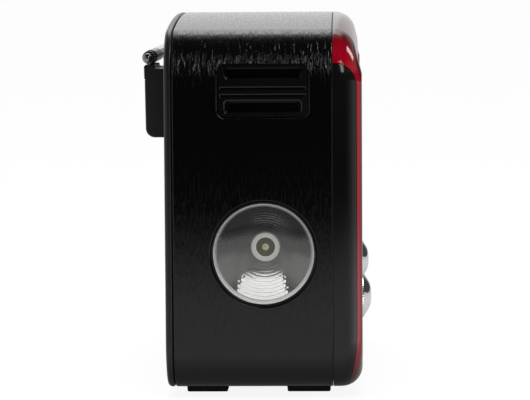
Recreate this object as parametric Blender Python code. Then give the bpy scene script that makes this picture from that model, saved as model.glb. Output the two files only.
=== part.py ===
"""Emergency radio: arched table-top cabinet with side torch, rear hand crank and
telescopic aerial.

The front faces -Y, +Z is up, the torch is on the -X side and the feet stand on z = 0.
Left (-X) and right (+X) are as seen from the front.  Everything is built in millimetres;
the last step centres the depth on y = 0 and scales to metres.
"""
import math

import bpy
import bmesh
from mathutils import Vector

for old_object in list(bpy.data.objects):
    bpy.data.objects.remove(old_object, do_unlink=True)

# ---------------------------------------------------------------- driving sizes (mm)
MM = 0.001
GAP = 0.30              # clearance between neighbouring pieces
WALL = 2.4              # cabinet wall
DEPTH_CENTRE_Y = 3.1    # centre of the overall depth, moved to y = 0 at the end

HALF_WIDTH = 110.0
BASE_Z = 3.1            # underside of the cabinet, feet below it
TOP_Z = 164.3           # apex of the arched top
CORNER_R = 22.0         # cabinet corner, seen from the front
ARCH_R = 796.0          # arched top
CORNER_STEPS = 6
ARCH_STEPS = 8

FACE_Y = -42.4          # foremost plane of the fascia
FRONT_SEAM_Y = -29.8    # cabinet / front frame joint
REAR_SEAM_Y = 39.4      # cabinet / rear cover joint
BACK_Y = 42.4           # rear face

CONTROL_Z = 41.5        # row of knobs, buttons and band switch
KNOB_X = 75.0           # volume on the left, tuning on the right
BUTTON_X = {"torch_button": -20.0, "siren_button": 20.0}
SPEAKER_X, SPEAKER_Z, SPEAKER_R = -46.0, 98.0, 38.0
SPEAKER = (SPEAKER_X, SPEAKER_Z)
DIAL_X, DIAL_Z, DIAL_HALF_X, DIAL_HALF_Z = 52.0, 104.0, 36.0, 15.0
DIAL = (DIAL_X - DIAL_HALF_X, DIAL_X + DIAL_HALF_X, DIAL_Z - DIAL_HALF_Z, DIAL_Z + DIAL_HALF_Z)
TORCH = (0.0, 63.2)     # axis (y, z)
TORCH_R = 22.75
GRIP = (-19.5, 19.5, 121.8, 144.8)      # side recess: y0, y1, z0, z1
GRIP_CORNER_R = 3.2
DOOR = (-84.0, -16.0, 22.0, 70.0)       # battery opening: x0, x1, z0, z1
DOOR_CORNER_R = 3.0
SCREWS = ((-98.0, 24.0), (98.0, 24.0), (-98.0, 128.0), (98.0, 128.0))   # x, z
CRANK_X, CRANK_Z = 40.0, 74.0
CRANK = (CRANK_X, CRANK_Z)
DISH_R = 36.0
AERIAL_PIVOT = Vector((78.0, 46.6, 147.0))
AERIAL_TIP = Vector((-97.0, 49.8, 147.0))

# Cutting tools reach these planes, clear of the radio.
OUT_X = HALF_WIDTH + 5.0
OUT_FRONT_Y = -60.0
INSIDE_Y = 10.0         # behind every front piece
OUT_LOW_Z, OUT_HIGH_Z = -10.0, 200.0

# ---------------------------------------------------------------- materials
# name: base colour, roughness, metallic (default 0), transmission (default 0)
MATERIALS = {
    "cabinet_black_grain": ((0.012, 0.012, 0.013), 0.30),
    "cover_black": ((0.015, 0.015, 0.016), 0.38),
    "rest_black": ((0.02, 0.02, 0.021), 0.40),
    "frame_gloss_black": ((0.010, 0.010, 0.011), 0.15),
    "fascia_red": ((0.33, 0.004, 0.012), 0.12),
    "grille_black": ((0.018, 0.018, 0.02), 0.45),
    "basket_steel": ((0.35, 0.35, 0.36), 0.35, 1.0),
    "cone_paper": ((0.05, 0.045, 0.04), 0.9),
    "magnet_grey": ((0.12, 0.12, 0.13), 0.5),
    "scale_cream": ((0.75, 0.68, 0.5), 0.5),
    "window_clear": ((0.95, 0.97, 0.97), 0.04, 0.0, 0.95),
    "pointer_orange": ((0.8, 0.15, 0.02), 0.4),
    "knob_tuning_chrome": ((0.75, 0.75, 0.76), 0.12, 1.0),
    "knob_volume_chrome": ((0.75, 0.75, 0.76), 0.12, 1.0),
    "capacitor_white": ((0.7, 0.7, 0.66), 0.4),
    "pot_metal": ((0.45, 0.45, 0.46), 0.4, 1.0),
    "switch_black": ((0.02, 0.02, 0.02), 0.4),
    "button_torch_black": ((0.03, 0.03, 0.03), 0.35),
    "button_siren_red": ((0.45, 0.01, 0.01), 0.35),
    "bezel_black": ((0.015, 0.015, 0.016), 0.25),
    "lens_clear": ((0.97, 0.98, 0.98), 0.03, 0.0, 0.97),
    "reflector_bright": ((0.86, 0.86, 0.87), 0.10, 1.0),
    "led_board_white": ((0.85, 0.85, 0.80), 0.5),
    "grip_left_black": ((0.016, 0.016, 0.017), 0.30),
    "grip_right_black": ((0.016, 0.016, 0.017), 0.30),
    "foot_rubber": ((0.02, 0.02, 0.02), 0.8),
    "board_green": ((0.02, 0.12, 0.05), 0.5),
    "tray_black": ((0.02, 0.02, 0.02), 0.5),
    "cell_silver": ((0.55, 0.55, 0.57), 0.3, 1.0),
    "door_black": ((0.016, 0.016, 0.017), 0.38),
    "ferrite_dark": ((0.04, 0.04, 0.045), 0.6),
    "coil_copper": ((0.6, 0.28, 0.12), 0.35, 1.0),
    "dish_black": ((0.015, 0.015, 0.016), 0.40),
    "hub_black": ((0.03, 0.03, 0.032), 0.40),
    "arm_black": ((0.025, 0.025, 0.027), 0.35),
    "crank_knob_red": ((0.33, 0.004, 0.012), 0.25),
    "gear_white": ((0.8, 0.8, 0.77), 0.5),
    "dynamo_steel": ((0.4, 0.4, 0.42), 0.3, 1.0),
    "rotor_steel": ((0.5, 0.5, 0.52), 0.3, 1.0),
    "swivel_chrome": ((0.7, 0.7, 0.72), 0.15, 1.0),
    "aerial_chrome_1": ((0.78, 0.78, 0.8), 0.10, 1.0),
    "aerial_chrome_2": ((0.78, 0.78, 0.8), 0.10, 1.0),
    "aerial_chrome_3": ((0.78, 0.78, 0.8), 0.10, 1.0),
    "aerial_tip_chrome": ((0.78, 0.78, 0.8), 0.10, 1.0),
    "screw_steel": ((0.3, 0.3, 0.31), 0.4, 1.0),
}


def make_material(name, colour, roughness, metallic=0.0, transmission=0.0):
    material = bpy.data.materials.new(name)
    material.use_nodes = True
    inputs = material.node_tree.nodes["Principled BSDF"].inputs
    inputs["Base Color"].default_value = (*colour, 1.0)
    inputs["Roughness"].default_value = roughness
    inputs["Metallic"].default_value = metallic
    inputs["Transmission Weight"].default_value = transmission
    return material


materials = {name: make_material(name, *look) for name, look in MATERIALS.items()}


def dress(solid, material_name):
    """Give the whole solid one material."""
    solid.data.materials.clear()
    solid.data.materials.append(materials[material_name])
    for polygon in solid.data.polygons:
        polygon.material_index = 0


# ---------------------------------------------------------------- flat outlines
def arc(centre_u, centre_v, radius, start, end, steps):
    """Points from start to end, both included, in degrees."""
    angles = [math.radians(start + (end - start) * i / steps) for i in range(steps + 1)]
    return [(centre_u + radius * math.cos(a), centre_v + radius * math.sin(a)) for a in angles]


def circle(centre_u, centre_v, radius, segments):
    angles = [2 * math.pi * i / segments for i in range(segments)]
    return [(centre_u + radius * math.cos(a), centre_v + radius * math.sin(a)) for a in angles]


def rounded_rect(bounds, radius, steps=5, grow=0.0):
    """Rounded rectangle in bounds (u0, u1, v0, v1), offset outwards by grow."""
    u0, u1, v0, v1 = bounds
    u0, u1, v0, v1 = u0 - grow, u1 + grow, v0 - grow, v1 + grow
    r = radius + grow
    return (arc(u1 - r, v0 + r, r, -90, 0, steps) + arc(u1 - r, v1 - r, r, 0, 90, steps)
            + arc(u0 + r, v1 - r, r, 90, 180, steps) + arc(u0 + r, v0 + r, r, 180, 270, steps))


def arched_outline(half_width, base_z, top_z, top_r, base_r, arch_r=ARCH_R):
    """Rounded outline (x, z) with an arched top, anticlockwise from the lower right corner."""
    arch_z = top_z - arch_r
    corner_x = half_width - top_r
    corner_z = arch_z + math.sqrt((arch_r - top_r) ** 2 - corner_x ** 2)
    tangent = math.degrees(math.atan2(corner_z - arch_z, corner_x))   # corner meets arch
    base_x, base_corner_z = half_width - base_r, base_z + base_r
    return (arc(base_x, base_corner_z, base_r, -90, 0, CORNER_STEPS)
            + arc(corner_x, corner_z, top_r, 0, tangent, CORNER_STEPS)
            + arc(0.0, arch_z, arch_r, tangent, 180 - tangent, ARCH_STEPS)[1:-1]
            + arc(-corner_x, corner_z, top_r, 180 - tangent, 180, CORNER_STEPS)
            + arc(-base_x, base_corner_z, base_r, 180, 270, CORNER_STEPS))


def cabinet_outline(inset=0.0):
    return arched_outline(HALF_WIDTH - inset, BASE_Z + inset, TOP_Z - inset,
                          CORNER_R - inset, CORNER_R - inset, ARCH_R - inset)


# ---------------------------------------------------------------- solids
def add_solid(bm, name):
    """Weld the mesh, face it outwards and add it to the scene."""
    bmesh.ops.remove_doubles(bm, verts=bm.verts, dist=1e-5)
    bmesh.ops.recalc_face_normals(bm, faces=bm.faces)
    if bm.calc_volume(signed=True) < 0:
        bmesh.ops.reverse_faces(bm, faces=bm.faces)
    mesh = bpy.data.meshes.new(name)
    bm.to_mesh(mesh)
    bm.free()
    solid = bpy.data.objects.new(name, mesh)
    bpy.context.scene.collection.objects.link(solid)
    return solid


def on_axis(axis, station, u, v):
    """Point at a station along the axis; u, v are the other two coordinates in x, y, z order."""
    return {"x": (station, u, v), "y": (u, station, v), "z": (u, v, station)}[axis]


def loft(rings, name="tool"):
    """Closed solid through rings of equal point count, flat caps at both ends."""
    bm = bmesh.new()
    rows = [[bm.verts.new(point) for point in ring] for ring in rings]
    count = len(rows[0])
    for near, far in zip(rows, rows[1:]):
        for i in range(count):
            j = (i + 1) % count
            bm.faces.new((near[i], near[j], far[j], far[i]))
    bm.faces.new(rows[0])
    bm.faces.new(list(reversed(rows[-1])))
    return add_solid(bm, name)


def prism(polygon, axis, start, end, name="tool"):
    """Polygon (u, v) swept along an axis."""
    return loft([[on_axis(axis, s, u, v) for u, v in polygon] for s in (start, end)], name)


def box(x0, x1, y0, y1, z0, z1, name="tool"):
    return prism([(x0, y0), (x1, y0), (x1, y1), (x0, y1)], "z", z0, z1, name)


def cabinet_loft(stations, name="tool"):
    """Loft of the cabinet outline through (y, inset) stations."""
    return loft([[(x, y, z) for x, z in cabinet_outline(inset)] for y, inset in stations], name)


def turn(profile, axis, centre, segments, name="tool"):
    """Solid of revolution about an axis through centre (u, v).

    The profile is (radius, station) pairs.  One that starts and ends at radius 0 closes
    with poles, any other is a closed loop.
    """
    bm = bmesh.new()
    rows = []
    for radius, station in profile:
        if radius < 1e-6:
            rows.append([bm.verts.new(on_axis(axis, station, *centre))])
        else:
            rows.append([bm.verts.new(on_axis(axis, station, u, v))
                         for u, v in circle(*centre, radius, segments)])
    pairs = list(zip(rows, rows[1:]))
    if len(rows[0]) > 1:
        pairs.append((rows[-1], rows[0]))
    for near, far in pairs:
        for i in range(segments):
            j = (i + 1) % segments
            if len(near) == 1:
                bm.faces.new((near[0], far[j], far[i]))
            elif len(far) == 1:
                bm.faces.new((near[i], near[j], far[0]))
            else:
                bm.faces.new((near[i], near[j], far[j], far[i]))
    return add_solid(bm, name)


def boolean(solid, tools, operation):
    """Apply exact booleans one after another and drop the tools."""
    for tool in tools:
        modifier = solid.modifiers.new("boolean", "BOOLEAN")
        modifier.operation = operation
        modifier.solver = "EXACT"
        modifier.object = tool
        depsgraph = bpy.context.evaluated_depsgraph_get()
        mesh = bpy.data.meshes.new_from_object(solid.evaluated_get(depsgraph))
        solid.modifiers.remove(modifier)
        mesh.name = solid.data.name
        solid.data = mesh
        bpy.data.objects.remove(tool, do_unlink=True)


def cut(solid, *tools):
    boolean(solid, tools, "DIFFERENCE")


def join(solid, *tools):
    boolean(solid, tools, "UNION")


def keep(solid, *tools):
    boolean(solid, tools, "INTERSECT")


# ---------------------------------------------------------------- cabinet sleeve
def build_cabinet():
    front_chamfer, rear_chamfer = 0.3, 0.5
    front_y, rear_y = FRONT_SEAM_Y + GAP, REAR_SEAM_Y - GAP
    cabinet = cabinet_loft([(front_y, front_chamfer), (front_y + front_chamfer, 0.0),
                            (rear_y - rear_chamfer, 0.0), (rear_y, rear_chamfer)],
                           "cabinet_shell")
    cut(cabinet, prism(cabinet_outline(WALL), "y", FRONT_SEAM_Y - 5, REAR_SEAM_Y + 5))
    cut(cabinet, prism(circle(*TORCH, TORCH_R + 0.15, 32), "x", -OUT_X, -HALF_WIDTH + 8))
    for side in (-1, 1):
        cut(cabinet, prism(rounded_rect(GRIP, GRIP_CORNER_R), "x",
                           side * (HALF_WIDTH - 9), side * OUT_X))
    dress(cabinet, "cabinet_black_grain")


# ---------------------------------------------------------------- rear cover
LIP_INSET = WALL + GAP      # lip slides inside the cabinet wall
LIP_WALL = 1.8
COVER_STATIONS = (          # y, inset: lip, step out at the joint, rounded rear edge
    (REAR_SEAM_Y - 5.5, LIP_INSET), (REAR_SEAM_Y, LIP_INSET), (REAR_SEAM_Y, 0.5),
    (REAR_SEAM_Y + 0.5, 0.0), (BACK_Y - 1.9, 0.0), (BACK_Y - 1.1, 0.35),
    (BACK_Y - 0.45, 0.9), (BACK_Y, 1.9))
VENT_X0, VENT_X1, VENT_Z, VENT_HEIGHT, VENT_PITCH, VENT_COUNT = -78, -30, 86.0, 2.2, 5.0, 5
SCREW_PROFILE = (           # radius, y
    (0, 30.0), (1.4, 30.0), (1.4, REAR_SEAM_Y - 0.6), (2.8, REAR_SEAM_Y - 0.6),
    (2.8, REAR_SEAM_Y + 0.9), (1.9, REAR_SEAM_Y + 1.5), (0, REAR_SEAM_Y + 1.5))


def rear_hole(polygon, start_y=REAR_SEAM_Y - 8):
    return prism(polygon, "y", start_y, BACK_Y + 5)


def build_rear_cover():
    cover = cabinet_loft(COVER_STATIONS, "rear_cover")
    cut(cover, prism(cabinet_outline(LIP_INSET + LIP_WALL), "y",
                     REAR_SEAM_Y - 8, REAR_SEAM_Y + 0.8))
    cut(cover, rear_hole(circle(*CRANK, DISH_R + GAP + 0.1, 36)))
    cut(cover, rear_hole(rounded_rect(DOOR, DOOR_CORNER_R)))
    for i in range(VENT_COUNT):
        z = VENT_Z + VENT_PITCH * i
        cut(cover, rear_hole(rounded_rect((VENT_X0, VENT_X1, z, z + VENT_HEIGHT), 0.8, 1)))
    for x, z in SCREWS:     # boss, head counterbore, shank hole
        join(cover, prism(circle(x, z, 4.6, 12), "y", REAR_SEAM_Y - 4, REAR_SEAM_Y + 1.4))
        cut(cover, rear_hole(circle(x, z, 3.2, 12), REAR_SEAM_Y - 1.0))
        cut(cover, rear_hole(circle(x, z, 1.8, 12)))
    cut(cover, rear_hole(circle(AERIAL_PIVOT.x, AERIAL_PIVOT.z, 3.3, 24)))
    dress(cover, "cover_black")


def build_screws():
    arm, half_slot = 2.2, 0.35      # cross recess
    slot_y0, slot_y1 = REAR_SEAM_Y + 0.8, REAR_SEAM_Y + 3
    for number, (x, z) in enumerate(SCREWS, 1):
        screw = turn(SCREW_PROFILE, "y", (x, z), 12, f"screw_{number}")
        for half_x, half_z in ((arm, half_slot), (half_slot, arm)):
            cut(screw, box(x - half_x, x + half_x, slot_y0, slot_y1, z - half_z, z + half_z))
        dress(screw, "screw_steel")


# ---------------------------------------------------------------- aerial rest on the rear
REST_X0, REST_X1 = -93.0, -60.0
REST_FRONT_Y = BACK_Y + GAP
REST_OUTLINE = (            # y, z in side view
    [(REST_FRONT_Y, 112.4)] + arc(47.2, 116.4, 4.0, -90, 0, 5)
    + [(51.55, 137.2), (51.2, 137.35), (51.2, 137.75), (51.6, 137.9), (51.8, 143.2),
       (51.4, 143.7), (46.9, 143.7), (46.9, 142.3), (REST_FRONT_Y, 142.3)])


def build_antenna_rest():
    dress(prism(REST_OUTLINE, "x", REST_X0, REST_X1, "antenna_rest"), "rest_black")


# ---------------------------------------------------------------- battery door
def build_battery_door():
    door = prism(rounded_rect(DOOR, DOOR_CORNER_R, grow=-GAP), "y",
                 REAR_SEAM_Y + 0.9, BACK_Y - 0.2, "battery_door")
    for i in range(4):      # finger grooves
        z = 60.0 + 2.0 * i
        cut(door, box(-60, -40, BACK_Y - 0.9, BACK_Y + 1, z, z + 0.9))
    dress(door, "door_black")


# ---------------------------------------------------------------- front pieces, shared shape
FRONT_DEPTHS = (0.0, 0.4, 1.2, 2.6, 3.8, 5.6, 8.4, FRONT_SEAM_Y - FACE_Y)   # behind the face
SIDE_ROUND_R, BASE_ROUND_R = 2.6, 9.0
# The upper front edge is a round running into a face that leans back.
TOP_ROUND_R = 9.5
TOP_ROUND_DEPTH = 11.9      # centre of the round, behind the face
TOP_ROUND_END = 172.5       # degrees, where the round meets the leaning face
FACE_DROP = 17.5            # height lost at the foremost plane
CORNER_LOSS = 18.0          # upper corner radius lost there

CHEEK_Y = -39.9             # black cheek / fascia joint
CHEEK_TOP_Z = 144.7
CHEEK_ROUND_R = 9.5
CHEEK_LOW_Z = 30.0          # below this the front edge follows an ellipse
CHEEK_ELLIPSE_Y, CHEEK_ELLIPSE_Z = 10.5, 31.25      # semi-axes
CHEEK_ELLIPSE_SWEEP = 68.0  # degrees

RIM_X = 100.0               # inner edge of the side rims
PANEL_Y = -40.9             # recessed panel between the side rims
RECESS_Y = -38.3            # floor of the frame recess that takes the fascia panel
RECESS_HALF_X = RIM_X + 0.5
RECESS_Z0, RECESS_Z1 = 12.0 - GAP, 139.0 + GAP


def round_inset(depth, radius):
    """Inset of a quarter-round edge at a depth behind the face."""
    if depth >= radius:
        return 0.0
    return radius - math.sqrt(radius ** 2 - (radius - depth) ** 2)


def top_drop(depth):
    """Height lost by the apex at a depth behind the face."""
    end = math.radians(TOP_ROUND_END)
    end_depth = TOP_ROUND_DEPTH + TOP_ROUND_R * math.cos(end)
    end_drop = TOP_ROUND_R - TOP_ROUND_R * math.sin(end)
    if depth >= TOP_ROUND_DEPTH:
        return 0.0
    if depth >= end_depth:
        return TOP_ROUND_R - math.sqrt(TOP_ROUND_R ** 2 - (TOP_ROUND_DEPTH - depth) ** 2)
    return end_drop + (FACE_DROP - end_drop) * (1 - depth / end_depth)


def front_body(name):
    """Whole front block, later divided into black frame and red fascia."""
    rings = []
    for depth in FRONT_DEPTHS:
        drop = top_drop(depth)
        base_inset = round_inset(depth, BASE_ROUND_R)
        points = arched_outline(HALF_WIDTH - round_inset(depth, SIDE_ROUND_R),
                                BASE_Z + base_inset, TOP_Z - drop,
                                CORNER_R - drop / FACE_DROP * CORNER_LOSS,
                                CORNER_R - base_inset * 0.6)
        rings.append([(x, FACE_Y + depth, z) for x, z in points])
    return loft(rings, name)


def cheek_block(grow=0.0):
    """Side view of the black frame, grown to the front and top, swept across the width."""
    front_y, top_z, radius = CHEEK_Y - grow, CHEEK_TOP_Z + grow, CHEEK_ROUND_R + grow
    points = [(FRONT_SEAM_Y + 1.0, top_z)]
    points += arc(front_y + radius, top_z - radius, radius, 90, 180, 6)
    for u, v in arc(0.0, 0.0, 1.0, 180, 180 + CHEEK_ELLIPSE_SWEEP, 6):
        points.append((front_y + CHEEK_ELLIPSE_Y * (1 + u), CHEEK_LOW_Z + CHEEK_ELLIPSE_Z * v))
    points.append((FRONT_SEAM_Y + 1.0, -5.0))
    return prism(points, "x", -OUT_X, OUT_X)


def trim_at_seam(piece):
    """Finish the piece flush with the cabinet joint."""
    cut(piece, box(-OUT_X, OUT_X, FRONT_SEAM_Y, INSIDE_Y, OUT_LOW_Z, OUT_HIGH_Z))


def cut_openings(piece, dial_corner_r, dial_grow):
    """Holes for speaker, dial, knobs, buttons and band switch."""
    openings = [circle(*SPEAKER, SPEAKER_R + 0.5, 32),
                rounded_rect(DIAL, dial_corner_r, grow=dial_grow)]
    openings += [circle(side * KNOB_X, CONTROL_Z, 4.0, 24) for side in (-1, 1)]
    openings += [circle(x, CONTROL_Z, 5.0, 24) for x in BUTTON_X.values()]
    openings.append(rounded_rect((-6, 6, CONTROL_Z - 3.0, CONTROL_Z + 3.0), 1.0, 2))
    for opening in openings:
        cut(piece, prism(opening, "y", OUT_FRONT_Y, -20))


def build_front_frame():
    """Black cheeks, floor and the baffle behind the fascia panel."""
    frame = front_body("front_frame")
    keep(frame, cheek_block())
    trim_at_seam(frame)
    cut(frame, box(-RECESS_HALF_X, RECESS_HALF_X, OUT_FRONT_Y, RECESS_Y, RECESS_Z0, RECESS_Z1))
    cavity = prism(cabinet_outline(WALL), "y", -36.2, 0)
    cut(cavity, box(-OUT_X, OUT_X, OUT_FRONT_Y, INSIDE_Y, CHEEK_TOP_Z - WALL, OUT_HIGH_Z))
    cut(frame, cavity)
    cut_openings(frame, 2.0, 1.0)
    dress(frame, "frame_gloss_black")


def build_front_fascia():
    """Red crown, rims and panel: the front block less the frame and its clearance."""
    fascia = front_body("front_fascia")
    frame_space = cheek_block(GAP)
    half_x = RECESS_HALF_X - GAP
    cut(frame_space, box(-half_x, half_x, OUT_FRONT_Y, RECESS_Y - GAP,
                         RECESS_Z0 + GAP, RECESS_Z1 - GAP))
    cut(fascia, frame_space)
    cut(fascia, prism(rounded_rect((-RIM_X, RIM_X, 15.0, 220.0), 5.0), "y",
                      OUT_FRONT_Y, PANEL_Y))
    crown_hollow = cabinet_loft([(-36.6, 6.6), (-33.5, 3.6), (-31.0, 2.6), (-25.0, 2.5)])
    cut(crown_hollow, box(-OUT_X, OUT_X, OUT_FRONT_Y, INSIDE_Y,
                          OUT_LOW_Z, CHEEK_TOP_Z + GAP + 0.01))
    cut(fascia, crown_hollow)
    cut_openings(fascia, 4.0, GAP)
    trim_at_seam(fascia)
    dress(fascia, "fascia_red")


# ---------------------------------------------------------------- speaker
# Profiles: radius, y.
GRILLE_PROFILE = (
    (0, -41.6), (20, -41.5), (34.5, -41.1), (SPEAKER_R - 0.6, -40.6), (SPEAKER_R, -39.8),
    (SPEAKER_R, -37.6), (0, -37.6))
BASKET_PROFILE = (
    (39.5, -35.9), (39.5, -34.7), (33.5, -34.7), (18.5, -24.0), (11.0, -24.0), (11.0, -25.2),
    (17.8, -25.2), (32.0, -35.9))
CONE_PROFILE = (
    (0, -31.6), (6, -31.0), (8.5, -29.2), (16.5, -28.6), (29.5, -36.6), (30.6, -37.3),
    (31.4, -36.6), (16.8, -25.8), (10.5, -25.6), (10.5, -27.8), (0, -29.8))
MAGNET_PROFILE = (
    (0, -27.2), (9.0, -25.3), (9.0, -23.7), (16.0, -23.7), (16.0, -14.0), (14.5, -12.5),
    (0, -12.5))
SLOT_PITCH, SLOT_HALF_HEIGHT, SLOT_FIELD_R = 7.4, 1.7, 33.0


def build_speaker():
    grille = turn(GRILLE_PROFILE, "y", SPEAKER, 32, "speaker_grille")
    for i in range(-4, 5):      # slots end on a circle
        offset = SLOT_PITCH * i
        z = SPEAKER_Z + offset
        half_x = math.sqrt(SLOT_FIELD_R ** 2 - offset ** 2)
        bounds = (SPEAKER_X - half_x, SPEAKER_X + half_x,
                  z - SLOT_HALF_HEIGHT, z + SLOT_HALF_HEIGHT)
        cut(grille, prism(rounded_rect(bounds, 1.2, 1), "y", -45, -35))
    dress(grille, "grille_black")
    dress(turn(BASKET_PROFILE, "y", SPEAKER, 28, "speaker_basket"), "basket_steel")
    dress(turn(CONE_PROFILE, "y", SPEAKER, 28, "speaker_cone"), "cone_paper")
    dress(turn(MAGNET_PROFILE, "y", SPEAKER, 24, "speaker_magnet"), "magnet_grey")


# ---------------------------------------------------------------- dial
def build_dial():
    dress(prism(rounded_rect(DIAL, 4.0), "y", -41.3, -39.3, "dial_window"), "window_clear")
    dress(prism(rounded_rect(DIAL, 3.0, grow=-1.0), "y", -36.0, -34.8, "dial_scale"),
          "scale_cream")
    dress(box(DIAL_X - 0.6, DIAL_X + 0.6, -37.6, -36.5, DIAL_Z - 13.0, DIAL_Z + 13.0,
              "dial_pointer"), "pointer_orange")


# ---------------------------------------------------------------- knobs and what they turn
KNOB_PROFILE = (            # radius, y: domed cap, skirt, shaft
    (0, -46.4), (4.0, -46.2), (5.8, -45.5), (6.6, -44.6), (6.85, -43.9), (7.6, -43.8),
    (9.4, -43.9), (10.15, -43.4), (10.15, -41.3), (3.0, -41.3), (3.0, -33.5), (0, -33.5))
POT_PROFILE = ((0, -33.2), (8.2, -33.2), (8.2, -25.0), (0, -25.0))      # radius, y
CAPACITOR_HALF = 10.0


def build_knobs():
    for name, x in (("volume", -KNOB_X), ("tuning", KNOB_X)):
        knob = turn(KNOB_PROFILE, "y", (x, CONTROL_Z), 24, name + "_knob")
        # pointer groove
        cut(knob, box(x - 0.4, x + 0.4, -50, -45.4, CONTROL_Z + 2.0, CONTROL_Z + 7.5))
        dress(knob, f"knob_{name}_chrome")
    dress(box(KNOB_X - CAPACITOR_HALF, KNOB_X + CAPACITOR_HALF, -33.2, -20.0,
              CONTROL_Z - CAPACITOR_HALF, CONTROL_Z + CAPACITOR_HALF, "tuning_capacitor"),
          "capacitor_white")
    dress(turn(POT_PROFILE, "y", (-KNOB_X, CONTROL_Z), 24, "volume_pot"), "pot_metal")


# ---------------------------------------------------------------- buttons and band switch
BUTTON_PROFILE = (          # radius, y
    (0, -43.0), (3.6, -42.9), (4.5, -42.3), (4.5, -38.0), (4.5, -35.6), (5.9, -35.6),
    (5.9, -34.2), (0, -34.2))
BUTTON_MATERIAL = {"torch_button": "button_torch_black", "siren_button": "button_siren_red"}
SWITCH_OUTLINE = (          # y, height from the control row: slider with a wider back plate
    (-42.9, -2.4), (-35.8, -2.4), (-35.8, -4.5), (-34.6, -4.5),
    (-34.6, 4.5), (-35.8, 4.5), (-35.8, 2.4), (-42.9, 2.4))
SWITCH_X0, SWITCH_X1 = -5.7, -1.7


def build_buttons():
    for name, x in BUTTON_X.items():
        dress(turn(BUTTON_PROFILE, "y", (x, CONTROL_Z), 24, name), BUTTON_MATERIAL[name])


def build_band_switch():
    points = [(y, CONTROL_Z + height) for y, height in SWITCH_OUTLINE]
    dress(prism(points, "x", SWITCH_X0, SWITCH_X1, "band_switch"), "switch_black")


# ---------------------------------------------------------------- torch in the left side
TORCH_PARTS = (             # name, material, segments, profile (radius, depth from side face)
    ("torch_bezel", "bezel_black", 32, (
        (TORCH_R - 0.3, 0.1), (TORCH_R - 0.3, 2.7), (24.4, 2.7), (24.4, 5.0), (21.0, 5.0),
        (21.0, 2.2), (21.7, 0.9), (21.9, 0.1))),
    ("torch_lens", "lens_clear", 32, (
        (0, 0.9), (21.35, 0.9), (20.7, 2.2), (20.7, 2.9), (0, 2.9))),
    ("torch_reflector", "reflector_bright", 32, (
        (20.7, 3.3), (20.7, 5.3), (24.0, 5.3), (24.0, 6.5), (19.4, 6.5), (13.6, 22.4),
        (7.2, 31.0), (7.2, 33.0), (6.0, 33.0), (6.0, 30.4), (12.4, 21.8), (18.4, 3.3))),
    ("torch_led_board", "led_board_white", 24, (
        (0, 29.6), (1.5, 29.8), (1.6, 31.4), (4.3, 31.4), (4.3, 33.3), (11.0, 33.3),
        (11.0, 35.0), (0, 35.0))),
)


def build_torch():
    for name, material_name, segments, profile in TORCH_PARTS:
        stations = [(radius, -HALF_WIDTH + depth) for radius, depth in profile]
        dress(turn(stations, "x", TORCH, segments, name), material_name)


# ---------------------------------------------------------------- grip inserts, both sides
GRIP_POCKETS = ((138.2, 142.9, 16.6), (123.9, 130.3, 16.2))     # z0, z1, half length in y
GRIP_GROOVES_Z = (132.4, 135.2)


def build_grip_insert(side, side_name):
    grip = prism(rounded_rect(GRIP, GRIP_CORNER_R, grow=-GAP), "x",
                 side * (HALF_WIDTH - 8.0), side * (HALF_WIDTH + 1.0),
                 "grip_insert_" + side_name)
    keep(grip, prism(cabinet_outline(0.35), "y", -60, 60))
    outer_x = side * (HALF_WIDTH + 3)
    for z0, z1, half_y in GRIP_POCKETS:     # walls taper inwards
        floor = rounded_rect((-half_y + 1, half_y - 1, z0 + 0.7, z1 - 0.7), 1.0, 3)
        mouth = rounded_rect((-half_y, half_y, z0 - 0.6, z1 + 0.6), 1.5, 3)
        cut(grip, loft([[(side * (HALF_WIDTH - 5.2), y, z) for y, z in floor],
                        [(outer_x, y, z) for y, z in mouth]]))
    for z in GRIP_GROOVES_Z:
        cut(grip, box(side * (HALF_WIDTH - 1.2), outer_x, -18.0, 18.0, z, z + 0.9))
    dress(grip, f"grip_{side_name}_black")


# ---------------------------------------------------------------- feet
FOOT_X, FOOT_HALF_X = 77.0, 8.4
FOOT_ROWS = (("front", -28.6, -9.2), ("rear", 16.4, 34.8))      # row, y0, y1


def build_feet():
    for row, y0, y1 in FOOT_ROWS:
        for side_name, x in (("left", -FOOT_X), ("right", FOOT_X)):
            half_x = FOOT_HALF_X - 0.4      # the sole is smaller
            sole = rounded_rect((x - half_x, x + half_x, y0 + 0.3, y1 - 0.3), 1.0, 2)
            top = rounded_rect((x - FOOT_HALF_X, x + FOOT_HALF_X, y0, y1), 1.0, 2)
            foot = loft([[(u, v, 0.0) for u, v in sole],
                         [(u, v, BASE_Z - 0.02) for u, v in top]], f"foot_{row}_{side_name}")
            dress(foot, "foot_rubber")


# ---------------------------------------------------------------- electronics inside
# Profiles: radius, x.
CELL_PROFILE = ((0, -79.0), (7.1, -79.0), (7.1, -29.5), (2.7, -29.5), (2.7, -28.3), (0, -28.3))
CELL_Y, CELL_Z, CELL_PITCH = 30.6, 37.4, 17.2
FERRITE = (10.0, 144.0)     # axis (y, z)
ROD_PROFILE = ((0, -70.0), (4.8, -70.0), (4.8, 50.0), (0, 50.0))
COIL_PROFILE = ((5.2, 8.0), (6.6, 8.0), (6.6, 34.0), (5.2, 34.0))


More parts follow.
